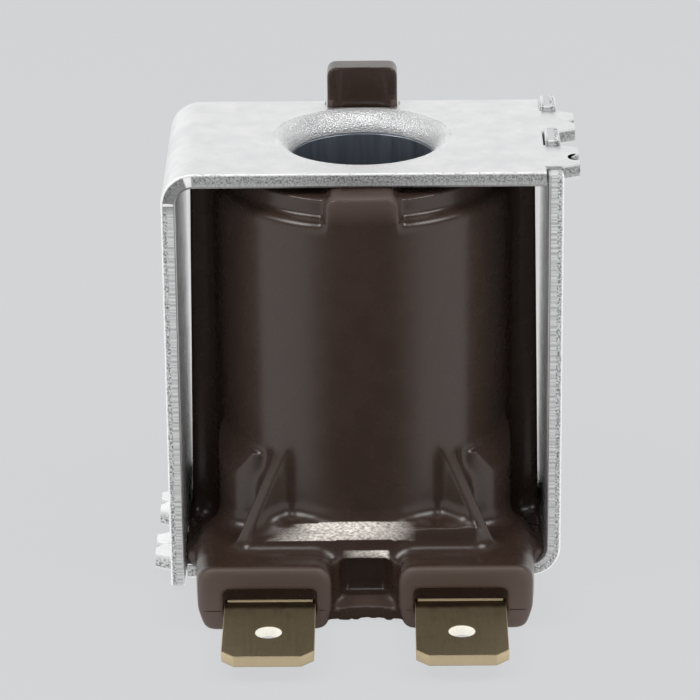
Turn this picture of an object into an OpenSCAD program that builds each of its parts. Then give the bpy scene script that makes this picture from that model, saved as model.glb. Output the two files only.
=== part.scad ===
// Encapsulated solenoid valve coil in a two-bracket steel frame.
// Origin: in the middle of the bore. +Z runs up the bore to the locating peg, -Y is the terminal side,
// +X is the side where the upper bracket's tabs are staked.

/* [Frame] */
// Width over the two side plates
frame_w = 27.3; // [26.5:0.1:32]
// Depth of the bracket strip
frame_d = 16; // [15:0.1:18]
// Height over the upper and lower plates
frame_h = 30.2; // [29:0.1:40]
// Sheet thickness
plate_t = 1; // [0.8:0.05:1.2]
// Inside radius of the bends
bend_in_r = 1.2; // [0.6:0.1:1.8]

/* [Frame joint] */
// Centre of the front tab along the plate edge
front_tab_y = -4.5; // [-4.9:0.1:-4]
// Centre of the back tab along the plate edge
back_tab_y = 3.05; // [2.6:0.05:3.6]
// Width of each tab
tab_w = 4.6; // [3.5:0.1:5]
// How far a tab stands past the side plate
tab_out = 1.3; // [0.8:0.1:2]
// Width of a tab's end, drawn in by staking
tab_end_w = 3.4; // [2.6:0.1:4.4]
// Width of the chisel split at a tab's end
split_w = 1.5; // [0.8:0.1:1.8]
// Depth of the chisel split in a tab's end
split_d = 0.8; // [0.3:0.1:1]
// How far the front tooth of the upper bracket stands past the lower plate
tooth_out = 0.65; // [0.3:0.05:1.2]
// How far the other teeth stand past the plate that they hold
back_tooth_out = 0.35; // [0.2:0.05:1]
// How far the front tooth of the lower bracket stays below the upper plate's face
short_tooth = 0.2; // [0:0.05:0.5]
// Clearance between tabs and teeth
joint_gap = 0.05; // [0.02:0.01:0.1]

/* [Bore] */
// Diameter of the bore for the armature tube
bore_d = 10; // [8:0.1:11]
// Inside radius of the rolled hole lip
lip_in_r = 0.35; // [0.2:0.05:0.5]
// Depth of the drawn collar, from the plate's outer face
collar_len = 1.5; // [1.4:0.1:3]
// Length of each rolled sleeve
sleeve_len = 10; // [5:0.5:12]
// Width of the seam in a rolled sleeve
seam_w = 0.3; // [0.1:0.05:0.6]
// Angle of the seam, from +X
seam_angle = 65; // [0:5:355]
// Play round a sleeve and round the collars
sleeve_play = 0.05; // [0.02:0.01:0.15]

/* [Coil body] */
// Diameter of the moulded barrel
barrel_d = 21; // [20:0.1:22]
// Depth of the step from the barrel to its neck
neck_step = 1.1; // [0.9:0.1:1.4]
// Air between the neck and the upper plate
neck_air = 0.5; // [0.3:0.1:1]
// Height of the neck above the shoulder
neck_h = 1.3; // [1:0.1:2]
// Radius of the shoulder's edge
shoulder_r = 0.8; // [0.3:0.1:0.9]
// Width of the front lug
lug_w = 5; // [4:0.1:6]
// Depth of the front lug behind the barrel's front
lug_d = 4; // [2:0.1:5]
// Radius along the top of the front lug
lug_r = 0.7; // [0.3:0.1:1]

/* [Rear body and peg] */
// How far the square rear body reaches in front of the bore axis
rear_out = 1; // [0:0.1:1.5]
// Clearance between the rear body and the side plates
rear_gap = 0.4; // [0.2:0.05:0.8]
// Thickness of the locating peg
peg_t = 1.45; // [1.1:0.05:2]
// Width of the locating peg
peg_w = 5; // [4:0.1:7]
// How far the peg stands above the upper plate
peg_up = 2.8; // [1.5:0.1:4]
// Radius of the peg's corners
peg_r = 0.6; // [0.3:0.1:0.7]
// Clearance of the peg in the notch
peg_gap = 0.1; // [0.05:0.05:0.2]

/* [Terminal block] */
// Distance between the middles of the two shrouds
shroud_pitch = 14.1; // [13.6:0.1:14.6]
// Width of each shroud
shroud_w = 9.6; // [8.6:0.1:9.8]
// How far the shrouds stand in front of the frame
shroud_out = 6.6; // [5.6:0.1:8]
// How far the shrouds hang below the lower plate's outer face
shroud_drop = 1; // [0.8:0.1:2]
// Height of the block above the lower plate
block_h = 2.7; // [2.4:0.1:3.4]
// How far the block reaches back between the side plates
block_in = 2.3; // [1.5:0.1:4]
// Radius of the upper corners of the block and shrouds
block_r = 1.1; // [0.6:0.1:1.2]
// Radius of the lower corners of the shrouds
shroud_low_r = 1.6; // [0.8:0.1:1.8]
// Chamfer that keeps the block clear of the bend's inside
block_chamfer = 0.6; // [0.4:0.1:1]
// Clearance between the block and the frame's front edge
block_gap = 0.15; // [0.05:0.05:0.4]
// How far the bridge between the shrouds stands in front of the frame
bridge_out = 4; // [3.2:0.1:5]
// Width of the recess in the bridge
recess_w = 4.3; // [3:0.1:4.4]
// How much narrower the recess is at its back
recess_taper = 1.7; // [0:0.1:2]
// Depth of the recess in the bridge
recess_d = 0.8; // [0.3:0.1:1.2]
// Height of the bridge's edge over the recess
recess_down = 0.55; // [0.3:0.05:1]
// How far the lip under the recess stands in front of the bridge
lip_out = 1.5; // [0.8:0.1:1.6]
// Height of the lip at the back of the recess
lip_h = 1.5; // [1.2:0.1:1.8]
// How far the lip slopes down to its front edge
lip_fall = 0.5; // [0:0.1:0.8]
// Depth of the hollow in the lip's front edge
lip_hollow = 0.3; // [0.1:0.05:0.5]
// Half width of the step at the foot of the barrel
step_half_w = 5.2; // [4:0.1:5.5]
// How far the step stands in front of the barrel
step_out = 1.1; // [0.8:0.1:1.3]
// Height of the step above the block
step_h = 1.65; // [1.2:0.05:2.4]
// Chamfer along the step's edge
step_chamfer = 0.75; // [0.3:0.05:1]

/* [Ribs and pillars] */
// Angle from the front at which each gusset rib leaves the barrel
rib_angle = 30.5; // [28:0.5:38]
// Turn of a gusset rib away from the bore axis
rib_skew = 14.5; // [0:0.5:20]
// Thickness of a gusset rib
rib_t = 0.95; // [0.6:0.05:1.4]
// Height of a gusset rib above the block
rib_h = 6.8; // [4:0.1:9]
// Reach of a gusset rib in front of the barrel
rib_out = 4.1; // [2.5:0.1:4.4]
// Angle of each lead pillar from the front
pillar_angle = 56; // [54:0.5:58]
// Radius of a lead pillar
pillar_r = 3.5; // [3:0.1:4]
// How far a lead pillar stands out of the barrel
pillar_out = 1.2; // [1:0.1:1.3]
// Height of a lead pillar above the block
pillar_h = 6.2; // [6:0.1:10]

/* [Terminals] */
// Blade width
blade_w = 6.3; // [4.8:0.1:6.5]
// Blade thickness
blade_t = 0.8; // [0.5:0.05:1]
// Distance between the two blades
blade_pitch = 13.2; // [12.8:0.1:13.6]
// Free length of a blade in front of the shroud
blade_out = 8.2; // [6:0.1:10]
// Height of a blade's underside above the lower plate's outer face
blade_z = 0.2; // [0:0.05:0.4]
// Chamfer of the blade tip's corners
tip_chamfer = 0.85; // [0.3:0.05:1.2]
// Diameter of the detent hole
hole_d = 1.8; // [1.4:0.1:2]
// Distance of the detent hole from the blade tip
hole_back = 3.76; // [3:0.02:4.5]
// Depth of the pocket round a blade's root
pocket_d = 0.63; // [0.3:0.01:1]
// Height of the pocket above the blade
pocket_h = 1.1; // [0.5:0.1:1.5]
// Air round the blade in its pocket
pocket_air = 0.12; // [0.05:0.01:0.3]
// Width of a terminal's tail inside the block
tail_w = 1.6; // [1.2:0.1:2]
// Width of the post at the end of a tail
post_w = 1.2; // [0.8:0.1:1.4]
// Length of the post above its tail
post_h = 6.2; // [5.6:0.1:6.8]
// How far the middle of a post lies inside the barrel's surface
post_in = 0.6; // [0.5:0.05:0.7]

/* [Winding] */
// Wall of the bobbin's core
core_wall = 0.95; // [0.7:0.05:1.2]
// Moulding over the edges of the bobbin's flanges
flange_cover = 1.4; // [1.2:0.05:1.6]
// Thickness of the bobbin's flanges
flange_t = 0.9; // [0.6:0.1:1.2]
// Height of the lower flange above the lower plate
flange_z = 3.2; // [2.6:0.1:3.6]
// Moulding over the tape round the winding
tape_cover = 1.65; // [1.6:0.05:2.1]
// Thickness of the tape round the winding
tape_t = 0.25; // [0.1:0.05:0.3]
// Diameter of a lead wire
wire_d = 0.5; // [0.3:0.05:0.6]
// Outside diameter of a lead's insulating tube
tube_d = 1; // [0.8:0.05:1.1]
// Play of a lead in its tube
tube_play = 0.05; // [0.02:0.01:0.1]
// Height of the leads above the lower flange
lead_up = 2; // [1.2:0.1:2.6]
// Moulding between the winding's tape and a lead's tube
lead_gap = 0.15; // [0.1:0.05:0.25]
// Angle from the front at which a lead leaves the winding
lead_angle = 20; // [10:1:24]
// Angle of bare wire at each end of a lead's tube
bare_angle = 8; // [7:0.5:10]
// Diameter of a solder joint
solder_d = 1.9; // [1.7:0.05:2]
// Height of a solder joint
solder_h = 1.5; // [1.2:0.1:2]

/* [Hidden] */
$fn = 64;
// Overlap that makes a cut or a join clean
eps = 0.01;
// How far the root of a feature runs into the body that it stands on
root = 1;
// Frame planes
side_x = frame_w / 2;
inner_x = side_x - plate_t;
front_y = -frame_d / 2;
back_y = frame_d / 2;
under_z = frame_h - plate_t;
// Bore, collar and bobbin bore
bore_r = bore_d / 2;
collar_r = bore_r + plate_t;
lip_out_r = lip_in_r + plate_t;
core_in_r = collar_r + sleeve_play;
core_r = core_in_r + core_wall;
// Heights of the moulding
barrel_r = barrel_d / 2;
neck_r = barrel_r - neck_step;
neck_top = under_z - neck_air;
shoulder_z = neck_top - neck_h;
block_z = plate_t + block_h;
// Planes of the terminal block
block_x = (shroud_pitch + shroud_w) / 2;
shroud_y = front_y - shroud_out;
gap_y = front_y - block_gap;
bridge_y = front_y - bridge_out;
lip_y = bridge_y - lip_out;
lip_top = lip_h - shroud_drop;
block_back_y = front_y + block_in;
// Bobbin and winding heights
low_flange_z = plate_t + flange_z;
wind_low_z = low_flange_z + flange_t;
wind_top_z = shoulder_z - shoulder_r - flange_t;
flange_r = barrel_r - flange_cover;
tape_r = barrel_r - tape_cover;
winding_r = tape_r - tape_t;
// Terminal tails and leads
tip_y = shroud_y - blade_out;
leg_y = gap_y - 2 * blade_t;
tail_z = plate_t + blade_t;
post_rad = barrel_r - post_in;
post_x = post_rad * sin(pillar_angle);
post_y = -post_rad * cos(pillar_angle);
lead_rad = tape_r + lead_gap + tube_d / 2;
lead_z = wind_low_z + lead_up;
lead_end = asin((post_x - post_w / 2) / lead_rad);

// Moves a piece that is drawn from the lower plate's outer face to the origin in the middle of the bore
module placed() {
    translate([0, 0, -frame_h / 2]) children();
}

// Rectangle with round corners, centred
module round_rect(w, h, r) {
    square([w - 2 * r, h], center = true);
    square([w, h - 2 * r], center = true);
    for (sx = [-1, 1], sy = [-1, 1])
        translate([sx * (w / 2 - r), sy * (h / 2 - r)]) circle(r);
}

// Section in X and Z drawn out along Y between two planes
module along_y(y0, y1) {
    translate([0, y1, 0]) rotate([90, 0, 0]) linear_extrude(y1 - y0) children();
}

// Quarter ring of sheet, bent from +Y towards -X, about the origin
module bent_sheet(in_r) {
    intersection() {
        difference() {
            circle(in_r + plate_t);
            circle(in_r);
        }
        translate([-in_r - plate_t, 0]) square(in_r + plate_t);
    }
}

// Section of a bracket: upper plate, bend and left plate down to the lower plate's outer face
module yoke_section() {
    bend_out_r = bend_in_r + plate_t;
    translate([bend_out_r - side_x, frame_h - bend_out_r]) bent_sheet(bend_in_r);
    translate([bend_out_r - side_x, under_z]) square([side_x - bend_out_r + inner_x - joint_gap, plate_t]);
    translate([-side_x, -back_tooth_out]) square([plate_t, frame_h - bend_out_r + back_tooth_out]);
}

// Tab in X and Y with its end drawn in and split by staking
module staked_tab() {
    root_x = inner_x - root;
    slot_x = side_x + joint_gap;
    end_x = side_x + tab_out;
    polygon([
        [root_x, -tab_w / 2], [slot_x, -tab_w / 2], [end_x, -tab_end_w / 2], [end_x, -split_w / 2],
        [end_x - split_d, 0], [end_x, split_w / 2], [end_x, tab_end_w / 2],
        [slot_x, tab_w / 2], [root_x, tab_w / 2]
    ]);
}

// Rolled lip and drawn collar about the bore, hanging from the upper plate
module collar() {
    rotate_extrude() {
        translate([bore_r + lip_out_r, frame_h - lip_out_r]) bent_sheet(lip_in_r);
        translate([bore_r, frame_h - collar_len]) square([plate_t, collar_len - lip_out_r + eps]);
    }
}

// Bracket: upper plate with collar, notch and staked tabs, left plate with teeth
module yoke(front_short) {
    slot_low = max(tooth_out, back_tooth_out) + eps;
    tooth_w = front_tab_y - tab_w / 2 - joint_gap - front_y;
    difference() {
        union() {
            along_y(front_y, back_y) yoke_section();
            translate([-side_x, front_y, -tooth_out]) cube([plate_t, tooth_w, tooth_out + root]);
            translate([0, 0, under_z]) linear_extrude(plate_t)
                for (y = [front_tab_y, back_tab_y]) translate([0, y]) staked_tab();
        }
        translate([0, 0, under_z - eps]) cylinder(r = bore_r + lip_out_r, h = plate_t + 2 * eps);
        // Notch for the peg
        translate([0, back_y, under_z - eps]) linear_extrude(plate_t + 2 * eps)
            round_rect(peg_w + 2 * peg_gap, 2 * (peg_t + peg_gap), peg_r + peg_gap);
        // Slots for the other bracket's tabs
        for (y = [front_tab_y, back_tab_y])
            translate([-side_x - eps, y - tab_w / 2 - joint_gap, -slot_low])
                cube([plate_t + 2 * eps, tab_w + 2 * joint_gap, slot_low + plate_t + joint_gap]);
        // Front tooth cut short
        if (front_short)
            translate([-side_x - eps, front_y - eps, -slot_low])
                cube([plate_t + 2 * eps, tooth_w + 2 * eps, slot_low + short_tooth]);
    }
    collar();
}

module upper_yoke() {
    color("lightsteelblue") placed() yoke(false);
}

module lower_yoke() {
    color("lightsteelblue") placed() translate([0, 0, frame_h]) rotate([0, 180, 0]) yoke(true);
}

// Rolled sleeve standing on a collar's end, with its seam open
module flux_sleeve() {
    translate([0, 0, collar_len]) difference() {
        cylinder(r = collar_r, h = sleeve_len);
        translate([0, 0, -eps]) cylinder(r = bore_r, h = sleeve_len + 2 * eps);
        rotate([0, 0, seam_angle]) translate([0, -seam_w / 2, -eps])
            cube([collar_r + root, seam_w, sleeve_len + 2 * eps]);
    }
}

module lower_flux_sleeve() {
    color("slategray") placed() flux_sleeve();
}

module upper_flux_sleeve() {
    color("slategray") placed() translate([0, 0, frame_h]) mirror([0, 0, 1]) flux_sleeve();
}

// Outside of the bobbin: core tube and two flanges
module bobbin_outside() {
    translate([0, 0, plate_t]) cylinder(r = core_r, h = neck_top - plate_t);
    for (z = [low_flange_z, wind_top_z])
        translate([0, 0, z]) cylinder(r = flange_r, h = flange_t);
}

module bobbin() {
    stop_low = collar_len + sleeve_len;
    color("saddlebrown") placed() difference() {
        bobbin_outside();
        // Seats of the sleeves and collars at both ends, and the bore between them
        translate([0, 0, plate_t - eps]) cylinder(r = core_in_r, h = stop_low - plate_t + eps);
        translate([0, 0, frame_h - stop_low]) cylinder(r = core_in_r, h = stop_low);
        translate([0, 0, plate_t]) cylinder(r = bore_r, h = frame_h);
        // Room for the inside of the rolled lips
        for (z = [plate_t - eps, under_z - lip_in_r])
            translate([0, 0, z]) cylinder(r = core_in_r + lip_in_r, h = lip_in_r + eps);
    }
}

module winding() {
    color("peru") placed() translate([0, 0, wind_low_z]) difference() {
        cylinder(r = winding_r, h = wind_top_z - wind_low_z);
        translate([0, 0, -eps]) cylinder(r = core_r, h = frame_h);
    }
}

module winding_tape() {
    color("gold") placed() difference() {
        translate([0, 0, wind_low_z]) cylinder(r = tape_r, h = wind_top_z - wind_low_z);
        translate([0, 0, wind_low_z - eps]) cylinder(r = winding_r, h = frame_h);
        for (side = [-1, 1]) lead_exit(side, wire_d + 2 * tube_play);
    }
}

// Turns a shape built along +X to an angle from the front, on one side
module from_front(side, angle) {
    rotate([0, 0, -90 + side * angle]) children();
}

// Straight start of a lead, out of the winding, as an eight-sided bar with a flat on top
module lead_exit(side, d) {
    past_bend = wire_d / 16;
    from_front(side, lead_angle) translate([winding_r, 0, lead_z]) rotate([0, 90, 0]) rotate(180 / 8)
        cylinder(d = d, h = lead_rad - winding_r + past_bend, $fn = 8);
}

// Section drawn out about the bore axis between two angles from the front
module lead_arc(side, a0, a1) {
    start = side > 0 ? a0 - 90 : -90 - a1;
    translate([0, 0, lead_z]) rotate([0, 0, start]) rotate_extrude(angle = a1 - a0)
        translate([lead_rad, 0]) children();
}

// Wire from the winding into the post
module lead(side) {
    into_post = asin(post_w / 4 / lead_rad);
    lead_exit(side, wire_d);
    lead_arc(side, lead_angle, lead_end + into_post) circle(d = wire_d, $fn = 8);
}

// Outside of the insulating tube on the bent part of a lead
module lead_tube(side) {
    lead_arc(side, lead_angle + bare_angle, lead_end - bare_angle) circle(d = tube_d, $fn = 12);
}

// Insulating tube on the bent part of a lead
module lead_sleeve(side) {
    lead_arc(side, lead_angle + bare_angle, lead_end - bare_angle) difference() {
        circle(d = tube_d, $fn = 12);
        circle(d = wire_d + 2 * tube_play, $fn = 8);
    }
}

module start_lead() {
    color("orangered") placed() difference() {
        lead(-1);
        terminal(-1);
    }
}

module finish_lead() {
    color("orangered") placed() difference() {
        lead(1);
        terminal(1);
    }
}

module start_lead_sleeve() {
    color("khaki") placed() lead_sleeve(-1);
}

module finish_lead_sleeve() {
    color("khaki") placed() lead_sleeve(1);
}

// Round of solder on each post, about the post and the end of the lead
module solder_joints() {
    color("silver") placed() for (side = [-1, 1])
        difference() {
            solder_round(side);
            terminal(side);
            lead(side);
        }
}

module solder_round(side) {
    translate([side * post_x, post_y, lead_z]) cylinder(d = solder_d, h = solder_h, center = true);
}

// Blade in X and Y, with chamfered tip
module blade_plan() {
    half = blade_w / 2;
    polygon([
        [-half, leg_y], [-half, tip_y + tip_chamfer], [tip_chamfer - half, tip_y],
        [half - tip_chamfer, tip_y], [half, tip_y + tip_chamfer], [half, leg_y]
    ]);
}

// Terminal bent from one strip: blade, upright leg, tail and post
module terminal(side) {
    blade_x = side * blade_pitch / 2;
    leg_w = blade_w - 2 * blade_t;
    difference() {
        translate([blade_x, 0, blade_z]) linear_extrude(blade_t) blade_plan();
        translate([blade_x, tip_y + hole_back, blade_z - eps]) cylinder(d = hole_d, h = blade_t + 2 * eps);
    }
    translate([blade_x - leg_w / 2, leg_y - eps, blade_z]) cube([leg_w, blade_t, tail_z - blade_z + blade_t]);
    translate([side * post_x - tail_w / 2, leg_y, tail_z])
        cube([tail_w, post_y - leg_y + blade_t / 2, blade_t]);
    translate([side * post_x - post_w / 2, post_y - blade_t / 2, tail_z]) cube([post_w, blade_t, post_h]);
}

module terminal_left() {
    color("darkkhaki") placed() terminal(-1);
}

module terminal_right() {
    color("darkkhaki") placed() terminal(1);
}

// Section in R and Z that is cut away round the neck, down to the shoulder's round edge
module neck_cut() {
    edge_r = barrel_r - shoulder_r;
    far = barrel_r + root;
    difference() {
        translate([neck_r, shoulder_z - shoulder_r]) square([far - neck_r, frame_h]);
        square([edge_r, shoulder_z]);
        translate([edge_r, shoulder_z - shoulder_r]) circle(shoulder_r);
    }
    translate([0, neck_top]) square([far, frame_h]);
}

// Lug on the neck's front, round along its top
module front_lug() {
    lug_low = shoulder_z - shoulder_r - root;
    along_y(-barrel_r - root, lug_d - barrel_r)
        translate([0, (under_z + lug_low) / 2]) round_rect(lug_w, under_z - lug_low, lug_r);
}

// Barrel with its neck turned down, except at the front lug
module barrel() {
    difference() {
        translate([0, 0, plate_t]) cylinder(r = barrel_r, h = frame_h);
        difference() {
            rotate_extrude() neck_cut();
            front_lug();
        }
    }
}

// Square body that fills the frame's rear half between the plates, with the locating peg on its top
module rear_body() {
    corner_r = bend_in_r + rear_gap;
    along_y(-rear_out, back_y)
        translate([0, (plate_t + neck_top) / 2])
            round_rect(2 * (inner_x - rear_gap), neck_top - plate_t, corner_r);
    translate([0, back_y - peg_t / 2, neck_top - root]) linear_extrude(frame_h + peg_up - neck_top + root)
        round_rect(peg_w, peg_t, peg_r);
}

// Outer section of the block in X and Z, or of one shroud with its own width
module block_section(w) {
    upper_z = block_z - block_r;
    lower_z = shroud_low_r - shroud_drop;
    translate([-w / 2, lower_z]) square([w, upper_z - lower_z]);
    translate([block_r - w / 2, lower_z]) square([w - 2 * block_r, block_z - lower_z]);
    translate([shroud_low_r - w / 2, -shroud_drop]) square([w - 2 * shroud_low_r, block_z]);
    for (side = [-1, 1]) {
        translate([side * (w / 2 - block_r), upper_z]) circle(block_r);
        translate([side * (w / 2 - shroud_low_r), lower_z]) circle(shroud_low_r);
    }
}

// Section of the air between the two shrouds, above a height
module between_section(low) {
    difference() {
        translate([-shroud_pitch / 2, low]) square([shroud_pitch, frame_h]);
        for (side = [-1, 1])
            translate([side * shroud_pitch / 2, 0]) block_section(shroud_w);
    }
}

// Section of the room that the lower plate and the bends need under the block
module plate_room() {
    far = frame_w;
    rise = far - block_x + block_chamfer;
    polygon([
        [-far, -far], [far, -far], [far, plate_t + rise], [block_x - block_chamfer, plate_t],
        [block_chamfer - block_x, plate_t], [-far, plate_t + rise]
    ]);
}

// Recess in the bridge in X and Y, narrower at its back
module recess_plan() {
    front = recess_w / 2;
    back = (recess_w - recess_taper) / 2;
    polygon([
        [-front, bridge_y - eps], [front, bridge_y - eps], [front, bridge_y],
        [back, bridge_y + recess_d], [-back, bridge_y + recess_d], [-front, bridge_y]
    ]);
}

// Air over the lip's sloping top in Y and Z, from the bridge to in front of the lip
module lip_slope() {
    polygon([
        [bridge_y, lip_top], [lip_y, lip_top - lip_fall], [lip_y - root, lip_top - lip_fall],
        [lip_y - root, block_z], [bridge_y, block_z]
    ]);
}

// Hollow of the lip's front edge in X and Y
module lip_hollow_plan() {
    half = (shroud_pitch - shroud_w) / 2;
    hollow_r = (half * half + lip_hollow * lip_hollow) / (2 * lip_hollow);
    intersection() {
        translate([0, lip_y + lip_hollow - hollow_r]) circle(hollow_r, $fn = 180);
        translate([-half, lip_y - eps]) square([2 * half, lip_out]);
    }
}

// Block on the lower plate, the two shrouds in front of the frame and the bridge between them
module terminal_block() {
    difference() {
        along_y(shroud_y, block_back_y) block_section(2 * block_x);
        along_y(gap_y, block_back_y + root) plate_room();
        along_y(shroud_y - root, lip_y) between_section(-2 * shroud_drop);
        along_y(lip_y - eps, bridge_y) between_section(lip_top);
        translate([0, 0, lip_top]) linear_extrude(block_z - lip_top - recess_down) recess_plan();
        intersection() {
            rotate([90, 0, 90]) linear_extrude(shroud_pitch - shroud_w, center = true) lip_slope();
            along_y(lip_y - root, bridge_y) between_section(-shroud_drop);
        }
        translate([0, 0, -shroud_drop - eps]) linear_extrude(lip_h) lip_hollow_plan();
    }
}

// Pocket round a blade's root in the shroud's face
module blade_pocket(side) {
    translate([side * blade_pitch / 2, 0, 0]) along_y(shroud_y - eps, shroud_y + pocket_d)
        translate([-blade_w / 2 - pocket_air, blade_z - pocket_air])
            square([blade_w + 2 * pocket_air, blade_t + pocket_h + pocket_air]);
}

// Step at the foot of the barrel, with a chamfered front edge
module foot_step() {
    step_y = -barrel_r - step_out;
    step_top = block_z + step_h;
    low = block_z - root;
    rotate([90, 0, 90]) linear_extrude(2 * step_half_w, center = true)
        polygon([
            [step_y, low], [step_y, step_top - step_chamfer], [step_y + step_chamfer, step_top],
            [step_y + barrel_r, step_top], [step_y + barrel_r, low]
        ]);
}

// Triangular rib from the barrel to the block, turned outwards about the point where it leaves the barrel
module gusset_rib(side) {
    low = block_z - root;
    from_front(side, rib_angle) translate([barrel_r, 0, 0]) rotate([0, 0, side * rib_skew])
        rotate([90, 0, 0]) linear_extrude(rib_t, center = true)
            polygon([
                [-root, low], [rib_out, low], [rib_out, block_z], [-root, block_z + rib_h * (1 + root / rib_out)]
            ]);
}

// Bulge that covers a post and its lead, with a sloping top
module lead_pillar(side) {
    pillar_top = block_z + pillar_h;
    out_r = barrel_r + pillar_out;
    intersection() {
        from_front(side, pillar_angle) translate([out_r - pillar_r, 0, plate_t])
            cylinder(r = pillar_r, h = frame_h);
        rotate_extrude() polygon([
            [0, plate_t], [out_r, plate_t], [out_r, pillar_top - pillar_out],
            [barrel_r - root, pillar_top + root], [0, pillar_top + root]
        ]);
    }
}

// Everything that the moulding flows round
module encased() {
    bobbin_outside();
    translate([0, 0, wind_low_z]) cylinder(r = tape_r, h = wind_top_z - wind_low_z);
    for (side = [-1, 1]) {
        terminal(side);
        lead(side);
        lead_tube(side);
        solder_round(side);
    }
}

module coil_overmould() {
    color([0.24, 0.17, 0.15]) placed() difference() {
        union() {
            barrel();
            rear_body();
            terminal_block();
            foot_step();
            for (side = [-1, 1]) {
                gusset_rib(side);
                lead_pillar(side);
            }
        }
        encased();
        for (side = [-1, 1]) blade_pocket(side);
    }
}

upper_yoke();
lower_yoke();
coil_overmould();
terminal_left();
terminal_right();
upper_flux_sleeve();
lower_flux_sleeve();
bobbin();
winding();
winding_tape();
start_lead();
finish_lead();
start_lead_sleeve();
finish_lead_sleeve();
solder_joints();
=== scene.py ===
"""Looks of the solenoid valve coil: moulded body, plated brackets, brass blades and a plain studio."""
import logging
import math
import random
from dataclasses import dataclass
from enum import Enum
from typing import Any, Callable, Sequence

import bmesh
import bpy
from mathutils import Matrix, Vector


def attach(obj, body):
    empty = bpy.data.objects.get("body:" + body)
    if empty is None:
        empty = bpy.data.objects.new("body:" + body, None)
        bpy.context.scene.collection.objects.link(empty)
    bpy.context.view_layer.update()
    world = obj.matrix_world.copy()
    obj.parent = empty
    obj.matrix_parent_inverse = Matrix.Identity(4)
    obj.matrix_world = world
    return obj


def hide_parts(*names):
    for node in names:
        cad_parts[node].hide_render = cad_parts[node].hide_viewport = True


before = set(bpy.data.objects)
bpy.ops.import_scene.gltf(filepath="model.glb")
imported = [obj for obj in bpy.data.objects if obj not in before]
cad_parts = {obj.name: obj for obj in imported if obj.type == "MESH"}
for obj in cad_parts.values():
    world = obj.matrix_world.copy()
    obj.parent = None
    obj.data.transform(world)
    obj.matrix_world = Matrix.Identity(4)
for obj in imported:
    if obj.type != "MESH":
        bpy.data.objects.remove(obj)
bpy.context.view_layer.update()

MM = 0.001
ROOT = "root"
LOG = logging.getLogger("coil")
# A bevel breaks the edges that turn by more than this.
SHARP = math.radians(40)
# A mesh with more faces than this shades evenly without weighted normals.
FINE_MESH = 50000
# An edge runs along an axis when its direction has more than this share of it.
STRAIGHT = 0.9

Point = tuple[float, float, float]
Solid = bpy.types.Object
Material = bpy.types.Material
Tree = bpy.types.NodeTree
Socket = bpy.types.NodeSocket
Node = bpy.types.Node
Test = Callable[[Vector, Vector], bool]


def every(middle: Vector, direction: Vector) -> bool:
    """Passes each element of a mesh."""
    return True


def quarter(steps: int) -> list[float]:
    """Gives the angles of a quarter turn in equal steps, with both ends."""
    return [math.pi / 2 * k / steps for k in range(steps + 1)]


def ramp(value: float, start: float, end: float) -> float:
    """Rises from 0 at the start to 1 at the end and stays there; the start may lie above the end."""
    return min(1.0, max(0.0, (value - start) / (end - start)))


class Pick(Enum):
    """What a selection in edit mode is made of."""

    FACE = "FACE"
    EDGE = "EDGE"
    VERT = "VERT"


class Merge(Enum):
    """How one solid acts on another."""

    CUT = "DIFFERENCE"
    FUSE = "UNION"
    KEEP = "INTERSECT"


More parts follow.
